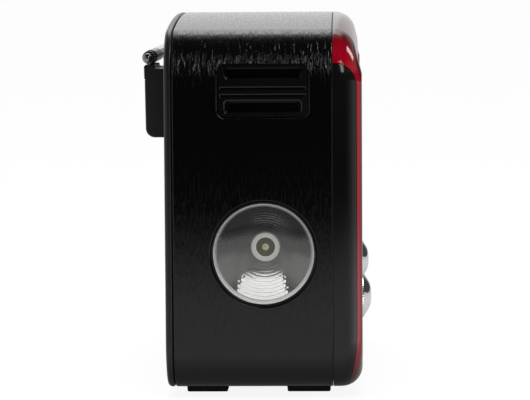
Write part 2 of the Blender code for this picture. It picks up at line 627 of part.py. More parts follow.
def build_electronics():
    dress(box(-8.0, 60.0, -19.0, -17.4, 52.0, 86.0, "main_board"), "board_green")
    tray = box(-82.0, -18.0, 20.5, 39.6, 26.0, 66.0, "battery_tray")
    cut(tray, box(-80.0, -20.0, 22.0, 45.0, 28.0, 64.0))
    dress(tray, "tray_black")
    for i in range(2):
        centre = (CELL_Y, CELL_Z + CELL_PITCH * i)
        dress(turn(CELL_PROFILE, "x", centre, 24, f"battery_cell_{i + 1}"), "cell_silver")
    dress(turn(ROD_PROFILE, "x", FERRITE, 20, "ferrite_rod"), "ferrite_dark")
    dress(turn(COIL_PROFILE, "x", FERRITE, 20, "ferrite_coil"), "coil_copper")


# ---------------------------------------------------------------- hand crank and dynamo
# Profiles: radius, y.
FLOOR_Y = 26.0              # dish floor
DISH_PROFILE = (
    (DISH_R, BACK_Y - 0.3), (DISH_R, FLOOR_Y - 1.8), (4.3, FLOOR_Y - 1.8), (4.3, FLOOR_Y),
    (DISH_R - 3.4, FLOOR_Y), (DISH_R - 1.8, FLOOR_Y + 1.6), (DISH_R - 1.8, BACK_Y - 0.3))
HUB_PROFILE = (
    (0, 8.0), (3.0, 8.0), (3.0, 14.4), (3.9, 14.4), (3.9, FLOOR_Y + 0.6), (9.6, FLOOR_Y + 0.6),
    (10.2, FLOOR_Y + 1.2), (10.2, FLOOR_Y + 4.2), (9.4, FLOOR_Y + 5.0), (0, FLOOR_Y + 5.0))
FOLD_Y, FOLD_Z = 39.6, CRANK_Z + 10.0       # fold axis of the arm, along X
EAR_INNER_X, EAR_OUTER_X = 5.2, 8.0         # from the crank axis
ARM_HALF_X = 4.8
CRANK_KNOB = (CRANK_X, FOLD_Z - 28.0)
PIN_PROFILE = ((0, FOLD_Y - 11.4), (1.9, FOLD_Y - 11.4), (1.9, FOLD_Y + 1.0), (0, FOLD_Y + 1.0))
CRANK_KNOB_PROFILE = (
    (2.2, FOLD_Y - 2.4), (6.2, FOLD_Y - 2.4), (7.0, FOLD_Y - 3.4), (6.4, FOLD_Y - 7.0),
    (7.0, FOLD_Y - 9.6), (6.0, FOLD_Y - 11.2), (2.2, FOLD_Y - 11.2))
GEAR_R, PINION_R = 17.0, 5.0
GEAR_PROFILE = ((3.3, 8.6), (GEAR_R, 8.6), (GEAR_R, 13.0), (3.3, 13.0))
DYNAMO = (CRANK_X + GEAR_R + PINION_R + 0.6, CRANK_Z)
DYNAMO_PROFILE = (
    (12.5, 5.4), (12.5, -11.0), (2.0, -11.0), (2.0, -9.4), (11.0, -9.4), (11.0, 4.0),
    (2.0, 4.0), (2.0, 5.4))
ROTOR_PROFILE = (
    (0, -12.5), (1.6, -12.5), (1.6, -8.6), (10.2, -8.6), (10.2, 3.2), (1.6, 3.2), (1.6, 8.2),
    (PINION_R, 8.2), (PINION_R, 13.4), (0, 13.4))


def build_crank_hub():
    """Hub with a lug and two ears that carry the folding arm."""
    hub = turn(HUB_PROFILE, "y", CRANK, 24, "crank_hub")
    join(hub, box(CRANK_X - EAR_OUTER_X, CRANK_X + EAR_OUTER_X, FLOOR_Y + 0.8, FLOOR_Y + 4.8,
                  CRANK_Z + 3.0, FOLD_Z + 3.4))
    ear = ([(FLOOR_Y + 4.0, FOLD_Z - 3.0)] + arc(FOLD_Y, FOLD_Z, 2.6, -60, 120, 6)
           + [(FLOOR_Y + 4.0, FOLD_Z + 3.4)])
    for side in (-1, 1):
        join(hub, prism(ear, "x", CRANK_X + side * EAR_INNER_X, CRANK_X + side * EAR_OUTER_X))
    dress(hub, "hub_black")


def build_crank_arm():
    """The arm lies folded in the dish with its knob turned inwards."""
    points = (arc(FOLD_Y, FOLD_Z, 2.4, 0, 180, 6)
              + [(FOLD_Y - 2.4, FOLD_Z - 3.0), (FOLD_Y - 1.5, FOLD_Z - 34.0),
                 (FOLD_Y + 2.4, FOLD_Z - 34.0)])
    arm = prism(points, "x", CRANK_X - ARM_HALF_X, CRANK_X + ARM_HALF_X, "crank_arm")
    join(arm, turn(PIN_PROFILE, "y", CRANK_KNOB, 16))
    dress(arm, "arm_black")


def build_crank():
    dress(turn(DISH_PROFILE, "y", CRANK, 36, "crank_dish"), "dish_black")
    build_crank_hub()
    build_crank_arm()
    dress(turn(CRANK_KNOB_PROFILE, "y", CRANK_KNOB, 24, "crank_knob"), "crank_knob_red")
    dress(turn(GEAR_PROFILE, "y", CRANK, 28, "crank_gear"), "gear_white")
    dress(turn(DYNAMO_PROFILE, "y", DYNAMO, 24, "dynamo_housing"), "dynamo_steel")
    dress(turn(ROTOR_PROFILE, "y", DYNAMO, 20, "dynamo_rotor"), "rotor_steel")


# ---------------------------------------------------------------- telescopic aerial
SWIVEL_PROFILE = (          # radius, y
    (0, 36.0), (4.6, 36.0), (4.6, REAR_SEAM_Y - 0.6), (2.9, REAR_SEAM_Y - 0.6),
    (2.9, BACK_Y + GAP), (5.0, BACK_Y + GAP), (5.0, 43.3), (0, 43.3))
# Stations below are measured along the aerial from the pivot.
TUBES = ((2.45, 3.0, 6.0, 160.0), (1.75, 2.2, 8.0, 163.0),      # bore radius, outer radius,
         (1.05, 1.5, 10.0, 165.0))                              # start, end
KNUCKLE_PROFILE = ((0, -4.0), (2.6, -4.0), (3.0, -3.4), (3.0, 7.0), (0, 7.0))
TIP_PROFILE = (             # radius, station: rod, ribbed cap, rounded end
    (0, 12.0), (0.8, 12.0), (0.8, 166.0), (2.5, 166.0), (2.8, 166.6), (2.8, 167.4),
    (2.4, 167.7), (2.4, 168.0), (2.8, 168.3), (2.8, 169.1), (2.4, 169.4), (2.4, 169.7),
    (2.8, 170.0), (2.8, 170.9), (2.2, 171.4), (1.2, 171.8), (1.2, 172.6), (1.75, 173.0),
    (2.1, 174.0), (2.1, 175.2), (1.6, 176.4), (0.8, 176.95), (0, 177.1))


def turn_on_aerial(profile, name="tool"):
    """Solid of revolution about the aerial axis."""
    solid = turn(profile, "x", (0, 0), 16, name)
    direction = (AERIAL_TIP - AERIAL_PIVOT).normalized()
    rotation = Vector((1, 0, 0)).rotation_difference(direction).to_matrix().to_4x4()
    for vertex in solid.data.vertices:
        vertex.co = AERIAL_PIVOT + rotation @ vertex.co
    return solid


def build_aerial():
    dress(turn(SWIVEL_PROFILE, "y", (AERIAL_PIVOT.x, AERIAL_PIVOT.z), 24, "antenna_swivel"),
          "swivel_chrome")
    for number, (bore_r, outer_r, start, end) in enumerate(TUBES, 1):
        profile = ((bore_r, start), (outer_r, start), (outer_r, end), (bore_r, end))
        tube = turn_on_aerial(profile, f"antenna_tube_{number}")
        if number == 1:     # solid knuckle at the root of the outer tube
            join(tube, turn_on_aerial(KNUCKLE_PROFILE))
        dress(tube, f"aerial_chrome_{number}")
    dress(turn_on_aerial(TIP_PROFILE, "antenna_tip"), "aerial_tip_chrome")


# ---------------------------------------------------------------- placing and scale
def finish_meshes():
    """Centre the depth, go to metres, clean up tiny edges and shade flat."""
    for solid in bpy.data.objects:
        bm = bmesh.new()
        bm.from_mesh(solid.data)
        for vertex in bm.verts:
            x, y, z = vertex.co
            vertex.co = Vector((x, y - DEPTH_CENTRE_Y, z)) * MM
        bmesh.ops.remove_doubles(bm, verts=bm.verts, dist=2e-6)
        bmesh.ops.dissolve_degenerate(bm, edges=bm.edges, dist=2e-6)
        for face in bm.faces:
            face.smooth = False
        bm.to_mesh(solid.data)
        bm.free()


build_cabinet()
build_rear_cover()
build_screws()
build_antenna_rest()
build_battery_door()
build_front_frame()
build_front_fascia()
build_speaker()
build_dial()
build_knobs()
build_buttons()
build_band_switch()
build_torch()
build_grip_insert(-1, "left")
build_grip_insert(1, "right")
build_feet()
build_electronics()
build_crank()
build_aerial()
finish_meshes()
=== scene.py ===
"""Looks of a hand-crank emergency radio with torch, speaker, dial and telescopic aerial.

Front faces -Y, up is +Z, the torch is in the -X side.
"""
import math
import random

import bpy
import bmesh
from mathutils import Matrix, Vector


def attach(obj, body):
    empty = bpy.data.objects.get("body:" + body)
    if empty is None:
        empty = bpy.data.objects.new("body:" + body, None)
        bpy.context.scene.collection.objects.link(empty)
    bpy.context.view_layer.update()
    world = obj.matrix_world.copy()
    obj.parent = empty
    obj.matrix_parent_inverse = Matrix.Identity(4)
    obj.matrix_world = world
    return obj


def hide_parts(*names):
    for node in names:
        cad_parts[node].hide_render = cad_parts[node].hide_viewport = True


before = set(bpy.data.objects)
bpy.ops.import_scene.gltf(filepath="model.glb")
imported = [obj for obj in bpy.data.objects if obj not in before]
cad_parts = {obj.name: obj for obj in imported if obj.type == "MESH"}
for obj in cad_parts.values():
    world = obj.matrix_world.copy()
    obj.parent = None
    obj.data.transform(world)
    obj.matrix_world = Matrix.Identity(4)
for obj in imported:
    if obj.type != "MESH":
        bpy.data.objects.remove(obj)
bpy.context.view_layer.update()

# ------------------------------------------------------------------ main sizes, mm
MM = 0.001
MID_Y = 3.1                             # CAD y that becomes y = 0 in the row frame
GAP = 0.3                               # clearance between parts
HALF_WIDTH, BASE_Z, TOP_Z = 110.0, 3.1, 164.3
CORNER_R, ARCH_R, WALL = 22.0, 796.0, 2.4
FACE_Y, BACK_Y = -42.4, 42.4
FRONT_SEAM_Y, REAR_SEAM_Y = -29.8, 39.4
CHEEK_Y, CHEEK_Z = -39.9, 144.7         # front and top of the black frame's side profile
PANEL_Y, RIM_X = -40.9, 100.0           # recessed front panel
SIDE_DEPTH, SIDE_INSET = 12.0, 6.0      # round of the vertical front edges
BOTTOM_ROUND = 9.0
TOP_ROUND, TOP_DEPTH, TOP_DROP = 9.5, 11.9, 17.5    # round, depth and fall of the top front edge

KNOB_X, KNOB_Z = 75.0, 41.5
BUTTON_X = {"torch_button": -20.0, "siren_button": 20.0}
TORCH, TORCH_R = (0.0, 63.2), 22.75     # centre (y, z)
REFLECTOR_R0, REFLECTOR_R1 = 6.5, 20.2
REFLECTOR_X0, REFLECTOR_X1 = 30.6, 3.2  # depth of the bowl's throat and mouth in from the side
FACET_FOCUS, FACET_ROWS = 27.0, 22      # each ring of facets is a slice of a shallow dish
GRIP_Z0, GRIP_Z1, GRIP_HALF_Y = 121.8, 144.8, 19.5
SPEAKER, SPEAKER_R = (-46.0, 98.0), 38.0            # centre (x, z)
DIAL_X, DIAL_Z, DIAL_HALF_X, DIAL_HALF_Z = 52.0, 104.0, 36.0, 15.0
MARKS_Y = -36.05
CRANK, DISH_R, DISH_FLOOR_Y = (40.0, 74.0), 36.0, 26.0      # centre (x, z)
HINGE_Y, HINGE_Z = 39.6, CRANK[1] + 10.0
DYNAMO = (CRANK[0] + 22.6, CRANK[1])
FERRITE = (10.0, 144.0)                 # centre (y, z)
DOOR = (-84.0, -16.0, 22.0, 70.0)       # battery door opening: x0, x1, z0, z1
SCREWS = ((-98.0, 24.0), (98.0, 24.0), (-98.0, 128.0), (98.0, 128.0))
AERIAL_PIVOT, AERIAL_TIP = Vector((78.0, 46.6, 147.0)), Vector((-97.0, 49.8, 147.0))
AERIAL_AXIS = (AERIAL_TIP - AERIAL_PIVOT).normalized()

rng = random.Random(7)
PIECES = []


# ------------------------------------------------------------------ outlines
def degrees(start, span, n):
    """n + 1 evenly spaced angles, given in degrees and returned in radians."""
    return [math.radians(start + span * i / n) for i in range(n + 1)]


def arc(cu, cv, r, angles):
    return [(cu + r * math.cos(a), cv + r * math.sin(a)) for a in angles]


def circle(cu, cv, r, n=96):
    return arc(cu, cv, r, [2 * math.pi * i / n for i in range(n)])


def rounded_rect(u0, u1, v0, v1, r, n=10):
    points = []
    for cu, cv, start in ((u1 - r, v0 + r, -90), (u1 - r, v1 - r, 0),
                          (u0 + r, v1 - r, 90), (u0 + r, v0 + r, 180)):
        points += arc(cu, cv, r, degrees(start, 90.0, n))
    return points


def outline(t=0.0, half=None, bottom=None, top=None, top_r=None, bottom_r=None, n=20, n_arch=40):
    """Front view of the body inset by t: flat bottom, round corners and an arched top."""
    half = HALF_WIDTH - t if half is None else half
    bottom = BASE_Z + t if bottom is None else bottom
    top = TOP_Z - t if top is None else top
    top_r = CORNER_R - t if top_r is None else top_r
    bottom_r = CORNER_R - t if bottom_r is None else bottom_r
    arch_r = ARCH_R - t
    arch_z = top - arch_r
    cx = half - top_r
    cz = arch_z + math.sqrt((arch_r - top_r) ** 2 - (half - top_r) ** 2)
    phi = math.atan2(cz - arch_z, cx)       # where the arch meets the corners
    points = arc(half - bottom_r, bottom + bottom_r, bottom_r, degrees(-90, 90.0, n))
    points += arc(cx, cz, top_r, [phi * i / n for i in range(n + 1)])
    points += arc(0, arch_z, arch_r,
                  [phi + (math.pi - 2 * phi) * i / n_arch for i in range(1, n_arch)])
    points += arc(-cx, cz, top_r, [math.pi - phi * (1 - i / n) for i in range(n + 1)])
    points += arc(-half + bottom_r, bottom + bottom_r, bottom_r, degrees(180, 90.0, n))
    return points


def ring(y, **sizes):
    return [(x, y, z) for x, z in outline(**sizes)]


# ------------------------------------------------------------------ solids
def to_row(point):
    return Vector((point[0] * MM, (point[1] - MID_Y) * MM, point[2] * MM))


def to_solid(bm):
    """Welds the mesh, turns its faces outwards and makes it an object."""
    bmesh.ops.remove_doubles(bm, verts=bm.verts, dist=1e-5)
    bmesh.ops.recalc_face_normals(bm, faces=bm.faces)
    if bm.calc_volume(signed=True) < 0:
        bmesh.ops.reverse_faces(bm, faces=bm.faces)
    mesh = bpy.data.meshes.new("solid")
    bm.to_mesh(mesh)
    bm.free()
    solid = bpy.data.objects.new("solid", mesh)
    bpy.context.scene.collection.objects.link(solid)
    return solid


def loft(rings):
    bm = bmesh.new()
    rows = [[bm.verts.new(point) for point in points] for points in rings]
    n = len(rings[0])
    for a, b in zip(rows, rows[1:]):
        for i in range(n):
            j = (i + 1) % n
            bm.faces.new((a[i], a[j], b[j], b[i]))
    bm.faces.new(rows[0])
    bm.faces.new(list(reversed(rows[-1])))
    return to_solid(bm)


def place(axis, u, v, w):
    """The point w along the axis and (u, v) across it."""
    return {"x": (w, u, v), "y": (u, w, v), "z": (u, v, w)}[axis]


def prism(points, axis, start, end):
    return loft([[place(axis, u, v, w) for u, v in points] for w in (start, end)])


def box(x0, x1, y0, y1, z0, z1):
    return prism([(x0, y0), (x1, y0), (x1, y1), (x0, y1)], "z", z0, z1)


def shell(stations):
    """Body outline lofted through (y, inset) stations."""
    return loft([ring(y, t=inset) for y, inset in stations])


def flared(u0, u1, v0, v1, r, n, axis, stations):
    """Rounded rectangle lofted through (place on the axis, outset) stations."""
    return loft([[place(axis, u, v, w) for u, v in
                  rounded_rect(u0 - o, u1 + o, v0 - o, v1 + o, r + o, n)] for w, o in stations])


def plate(x0, x1, z0, z1, r, n, front, back, edge):
    """Upright slab with small rounded edges on both faces."""
    quarter = [(edge * (1 - math.sin(a)), -edge * (1 - math.cos(a))) for a in degrees(0, 90.0, 3)]
    stations = [(front + depth, o) for depth, o in reversed(quarter)]
    stations += [(back - depth, o) for depth, o in quarter]
    return flared(x0, x1, z0, z1, r, n, "y", stations)


def soften(profile, r, n=3):
    """Rounds the corners of a lathe profile by up to r; the profile is open if it starts at 0."""
    points = []
    count = len(profile)
    closed = profile[0][0] > 1e-6
    for i, point in enumerate(profile):
        if not closed and i in (0, count - 1):
            points.append(point)
            continue
        corner = Vector(point)
        back = Vector(profile[(i - 1) % count]) - corner
        ahead = Vector(profile[(i + 1) % count]) - corner
        if (back.length < 1e-6 or ahead.length < 1e-6
                or back.normalized().dot(ahead.normalized()) < -0.985):
            points.append(point)
            continue
        reach = min(r, back.length * 0.42, ahead.length * 0.42)
        start = corner + back.normalized() * reach
        end = corner + ahead.normalized() * reach
        for j in range(n + 1):
            t = j / n
            bend = start * (1 - t) ** 2 + corner * 2 * t * (1 - t) + end * t * t
            points.append((max(bend.x, 0.0), bend.y))
    return points


def turn(profile, axis, centre, n=96, rounding=0.25, wave=None):
    """Turns (radius, station) points about an axis; wave(radius, station, angle) adds to the
    radius. centre is the axis's place across itself."""
    bm = bmesh.new()
    rows = []
    for radius, station in (soften(profile, rounding) if rounding else profile):
        if radius < 1e-6:
            rows.append([bm.verts.new(place(axis, *centre, station))])
            continue
        row = []
        for i in range(n):
            a = 2 * math.pi * i / n
            r = radius + (wave(radius, station, a) if wave else 0.0)
            row.append(bm.verts.new(place(axis, centre[0] + r * math.cos(a),
                                          centre[1] + r * math.sin(a), station)))
        rows.append(row)
    pairs = list(zip(rows, rows[1:]))
    if len(rows[0]) > 1:
        pairs.append((rows[-1], rows[0]))
    for a, b in pairs:
        for i in range(n):
            j = (i + 1) % n
            if len(a) == 1:
                bm.faces.new((a[0], b[j], b[i]))
            elif len(b) == 1:
                bm.faces.new((a[i], a[j], b[0]))
            else:
                bm.faces.new((a[i], a[j], b[j], b[i]))
    return to_solid(bm)


def torch_turn(profile, n, rounding):
    """Turns (radius, depth in from the -X side) points about the torch axis."""
    return turn([(r, -HALF_WIDTH + depth) for r, depth in profile], "x", TORCH, n, rounding)


def torch_radius(point):
    return math.hypot(point.y - TORCH[0], point.z - TORCH[1])


# ------------------------------------------------------------------ work on solids
def bake_modifiers(solid):
    depsgraph = bpy.context.evaluated_depsgraph_get()
    mesh = bpy.data.meshes.new_from_object(solid.evaluated_get(depsgraph))
    solid.modifiers.clear()
    solid.data = mesh


def boolean(solid, tool, operation):
    modifier = solid.modifiers.new("boolean", "BOOLEAN")
    modifier.operation = operation
    modifier.solver = "EXACT"
    modifier.object = tool
    bake_modifiers(solid)
    bpy.data.objects.remove(tool, do_unlink=True)


def cut(solid, tool):
    boolean(solid, tool, "DIFFERENCE")


def join(solid, tool):
    boolean(solid, tool, "UNION")


def keep(solid, tool):
    boolean(solid, tool, "INTERSECT")


def bevel(solid, width, segments, angle=38):
    modifier = solid.modifiers.new("bevel", "BEVEL")
    modifier.width = width
    modifier.segments = segments
    modifier.limit_method = "ANGLE"
    modifier.angle_limit = math.radians(angle)
    modifier.use_clamp_overlap = True
    modifier.miter_outer = "MITER_ARC"
    bake_modifiers(solid)


def gather(solid, *others):
    """Puts separate closed shells in one object."""
    bm = bmesh.new()
    bm.from_mesh(solid.data)
    for other in others:
        bm.from_mesh(other.data)
        bpy.data.objects.remove(other, do_unlink=True)
    bm.to_mesh(solid.data)
    bm.free()
    return solid


def finish(piece, name, body, shaders, angle=32, weighted=True, second=None):
    """Names, moves, shades and dresses a piece and has it ride on its body.

    shaders is a key of SHADERS, or two keys with second(centre, normal) telling which faces
    take the second. A name that ends in _fine replaces the CAD piece of that name.
    """
    piece.name = name
    mesh = piece.data
    mesh.name = name
    indices = [int(second(p.center, p.normal)) if second else 0 for p in mesh.polygons]
    for vertex in mesh.vertices:
        vertex.co = to_row(vertex.co)
    mesh.shade_smooth()
    mesh.set_sharp_from_angle(angle=math.radians(angle))
    if weighted:
        modifier = piece.modifiers.new("n", "WEIGHTED_NORMAL")
        modifier.keep_sharp = True
        modifier.weight = 60
    mesh.materials.clear()
    for key in ((shaders,) if isinstance(shaders, str) else shaders):
        mesh.materials.append(SHADERS[key].material)
    mesh.polygons.foreach_set("material_index", indices)
    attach(piece, body)
    if name.endswith("_fine"):
        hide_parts(name.removesuffix("_fine"))
    PIECES.append(piece)


# ------------------------------------------------------------------ shader nodes
class Nodes:
    """Short ways to add nodes to a tree; an input may be a value or another node's output."""

    def __init__(self, tree):
        self.tree = tree

    def put(self, node, key, value):
        if isinstance(value, bpy.types.NodeSocket):
            self.tree.links.new(value, node.inputs[key])
        else:
            node.inputs[key].default_value = value

    def add(self, kind, inputs=(), **settings):
        node = self.tree.nodes.new("ShaderNode" + kind)
        for key, value in settings.items():
            setattr(node, key, value)
        for key, value in dict(inputs).items():
            self.put(node, key, value)
        return node

    def math(self, operation, *values):
        return self.add("Math", dict(enumerate(values)), operation=operation).outputs[0]

    def span(self, value, low, high):
        return self.add("MapRange", {"To Min": low, "To Max": high, "Value": value}).outputs[0]

    def smooth(self, value, start, end, low=0.0, high=1.0):
        """Eases from low to high as value goes from start to end."""
        inputs = {"From Min": start, "From Max": end, "To Min": low, "To Max": high,
                  "Value": value}
        return self.add("MapRange", inputs, interpolation_type="SMOOTHSTEP").outputs[0]

    def mix(self, factor, a, b):
        return self.add("Mix", {0: factor, 2: a, 3: b}, data_type="FLOAT").outputs[0]

    def axes(self, vector):
        return self.add("SeparateXYZ", {0: vector}).outputs

    def ramp(self, value, stops):
        """Colour ramp through (position, grey or colour) stops."""
        node = self.add("ValToRGB", {0: value})
        elements = node.color_ramp.elements
        while len(elements) < len(stops):
            elements.new(0.5)
        for element, (position, c) in zip(elements, stops):
            element.position = position
            element.color = (*c, 1.0) if isinstance(c, tuple) else (c, c, c, 1.0)
        return node.outputs[0]


class Shader(Nodes):
    """A material built round its Principled BSDF."""

    def __init__(self, name):
        self.material = bpy.data.materials.new(name)
        self.material.use_nodes = True
        super().__init__(self.material.node_tree)
        self.surface = self.tree.nodes["Principled BSDF"]

    def set(self, **values):
        for key, value in values.items():
            self.put(self.surface, key.replace("_", " "), value)
        return self

    def mapping(self, vector, scale):
        return self.add("Mapping", {"Scale": scale, "Vector": vector}).outputs[0]

    def coords(self, scale=(1, 1, 1), uv=None):
        if uv:
            vector = self.add("UVMap", uv_map=uv).outputs[0]
        else:
            vector = self.add("TexCoord").outputs["Object"]
        return self.mapping(vector, scale)

    def noise(self, vector, scale, detail, rough=0.5, distortion=0.0):
        inputs = {"Scale": scale, "Detail": detail, "Roughness": rough,
                  "Distortion": distortion, "Vector": vector}
        return self.add("TexNoise", inputs).outputs["Fac"]

    def tint(self, value, low, high):
        return self.ramp(value, [(0.3, low), (0.7, high)])

    def bump(self, height, strength, distance, **normal):
        inputs = {"Strength": strength, "Distance": distance, "Height": height, **normal}
        return self.add("Bump", inputs).outputs[0]


# ------------------------------------------------------------------ materials
def plastic(name, colour, rough, depth, scale, drift, strength):
    """Moulded plastic: fine spark texture, faint colour drift and handling marks."""
    mat = Shader(name)
    v = mat.coords()
    low = tuple(c * (1 - drift) for c in colour)
    high = tuple(min(1.0, c * (1 + drift)) for c in colour)
    marks = mat.noise(v, scale=60.0, detail=6.0, rough=0.65, distortion=0.6)
    return mat.set(
        Base_Color=mat.tint(mat.noise(v, scale=14.0, detail=3.0), low, high),
        Roughness=mat.span(marks, *rough),
        Normal=mat.bump(mat.noise(v, scale=scale, detail=2.0), strength, depth),
        IOR=1.5)


def metal(name, colour, rough, brushed=None, scratch=None):
    """Bare or plated metal, smooth unless a brushing scale is given."""
    mat = Shader(name)
    v = mat.coords()
    if brushed:
        streaks = mat.noise(mat.coords(brushed), scale=1.0, detail=3.0, rough=0.6)
        normal = mat.bump(streaks, strength=scratch, distance=0.00005)
    else:
        ripple = mat.noise(v, scale=160.0, detail=3.0)
        normal = mat.bump(ripple, strength=0.05, distance=0.0001)
    clouds = mat.noise(v, scale=40.0, detail=4.0, rough=0.6)
    smears = mat.noise(v, scale=220.0, detail=5.0, rough=0.6)
    return mat.set(
        Metallic=1.0,
        Base_Color=mat.tint(clouds, tuple(c * 0.93 for c in colour), colour),
        Roughness=mat.span(smears, *rough),
        Normal=normal)


def gloss_black(name, rough):
    mat = Shader(name)
    v = mat.coords()
    marks = mat.noise(v, scale=80.0, detail=6.0, rough=0.65, distortion=0.6)
    ripple = mat.noise(v, scale=240.0, detail=2.0)
    return mat.set(
        Base_Color=mat.tint(mat.noise(v, scale=20.0, detail=3.0),
                            (0.004, 0.004, 0.004), (0.008, 0.008, 0.008)),
        Roughness=mat.span(marks, *rough),
        Normal=mat.bump(ripple, strength=0.10, distance=0.00006),
        IOR=1.5)


def gloss_red():
    """Glossy red whose base colour is darkened where it is seen at a slant: painted shade."""
    mat = Shader("fascia_gloss_red")
    v = mat.coords()
    painted_shade_slant = mat.add("LayerWeight", {"Blend": 0.5}).outputs["Facing"]
    red = mat.tint(mat.noise(v, scale=22.0, detail=3.0),
                   (0.40, 0.0008, 0.0125), (0.46, 0.0010, 0.0150))
    # base colour mixed towards near-black as the surface turns away from the view: painted shade
    colour = mat.add("Mix", {0: mat.ramp(painted_shade_slant, [(0.20, 0.0), (0.60, 1.0)]), 6: red,
                             7: (0.075, 0.003, 0.006, 1)}, data_type="RGBA").outputs[2]
    marks = mat.noise(v, scale=90.0, detail=6.0, rough=0.65, distortion=0.5)
    ripple = mat.noise(v, scale=260.0, detail=2.0)
    return mat.set(
        Base_Color=colour,
        Roughness=mat.span(marks, low=0.05, high=0.11),
        Normal=mat.bump(ripple, strength=0.10, distance=0.00006),
        IOR=1.5)


def wood_grain():
    """Glossy black moulded with long wood pores that run round the cabinet.

    uv "wrap": metres along the grain, metres across.
    """
    mat = Shader("cabinet_wood_grain_black")
    wrap = mat.coords(uv="wrap")
    # the pores sway sideways by up to about a millimetre
    sway = mat.noise(mat.coords((40, 120, 1), uv="wrap"), scale=1.0, detail=3.0)
    shift = mat.add("CombineXYZ",
                    {"Y": mat.math("MULTIPLY", mat.math("SUBTRACT", sway, 0.5), 0.0022)})
    swayed = mat.add("VectorMath", {0: wrap, 1: shift.outputs[0]}, operation="ADD").outputs[0]

    def streaks(along, across, detail, distortion):
        return mat.noise(mat.mapping(swayed, (along, across, 1)), scale=1.0, detail=detail,
                         distortion=distortion)

    pores = mat.ramp(streaks(along=150, across=1000, detail=2.5, distortion=0.3),
                     [(0.36, 0.0), (0.50, 1.0)])
    ticks = mat.ramp(streaks(along=380, across=2300, detail=2.0, distortion=0.2),
                     [(0.30, 0.0), (0.42, 1.0)])
    flow = streaks(along=24, across=260, detail=2.0, distortion=0.5)
    height = mat.math("ADD", mat.math("MULTIPLY", pores, 0.8),
                      mat.math("ADD", mat.math("MULTIPLY", flow, 0.6),
                               mat.math("MULTIPLY", ticks, 0.10)))
    # the relief is shallow low down and full above about z = 0.143
    z = mat.axes(mat.add("NewGeometry").outputs["Position"])["Z"]
    relief = mat.ramp(mat.math("MULTIPLY", z, 5.0), [(0.655, 0.18), (0.715, 1.0)])
    return mat.set(
        Base_Color=mat.ramp(pores, [(0.0, (0.0016, 0.0016, 0.0016)),
                                    (1.0, (0.0034, 0.0033, 0.0034))]),
        Roughness=mat.span(pores, low=0.14, high=0.07),
        Normal=mat.bump(mat.math("MULTIPLY", height, relief), strength=0.85, distance=0.00013),
        IOR=1.5)


def clear_plastic(name):
    """Lets light straight through and mirrors a little from its front, with wipe marks."""
    mat = Shader(name)
    mat.tree.nodes.remove(mat.surface)
    through = mat.add("BsdfTransparent", {"Color": (0.965, 0.97, 0.965, 1)})
    wipes = mat.noise(mat.coords(), scale=130.0, detail=6.0, rough=0.7, distortion=0.8)
    mirror = mat.add("BsdfGlossy", {"Color": (1, 1, 1, 1),
                                    "Roughness": mat.span(wipes, low=0.01, high=0.07)})
    fresnel = mat.add("Fresnel", {"IOR": 1.35}).outputs[0]
    front = mat.math("SUBTRACT", 1.0, mat.add("NewGeometry").outputs["Backfacing"])
    mix = mat.add("MixShader", {0: mat.math("MULTIPLY", fresnel, front),
                                1: through.outputs[0], 2: mirror.outputs[0]})
    mat.put(mat.tree.nodes["Material Output"], "Surface", mix.outputs[0])
    return mat


def plated_bowl():
    """Plated bowl of small facets in staggered rings (uv "polar": turns, radius in mm)."""
    mat = Shader("torch_reflector_plated")
    turns, radius, _ = mat.axes(mat.add("UVMap", uv_map="polar").outputs[0])
    rings = mat.math("MULTIPLY", mat.math("SUBTRACT", radius, REFLECTOR_R0),
                     11 / (REFLECTOR_R1 - REFLECTOR_R0))
    stagger = mat.math("MULTIPLY", mat.math("MODULO", mat.math("FLOOR", rings), 2.0), 0.5)
    around = mat.math("ADD", mat.math("MULTIPLY", turns, 48.0), stagger)
    waves = [mat.math("MULTIPLY", mat.math("SINE", mat.math("MULTIPLY", turn_, 2 * math.pi)), 0.5)
             for turn_ in (around, rings)]
    facets = mat.bump(mat.math("ADD", *waves), strength=1.0, distance=0.000019)
    fine = mat.noise(mat.coords(), scale=500.0, detail=2.0)
    smears = mat.noise(mat.coords(), scale=150.0, detail=5.0, rough=0.6)
    return mat.set(
        Metallic=0.9,
        Base_Color=(0.40, 0.40, 0.395, 1),
        Roughness=mat.span(smears, low=0.04, high=0.10),
        Normal=mat.bump(fine, strength=0.15, distance=0.00001, Normal=facets))


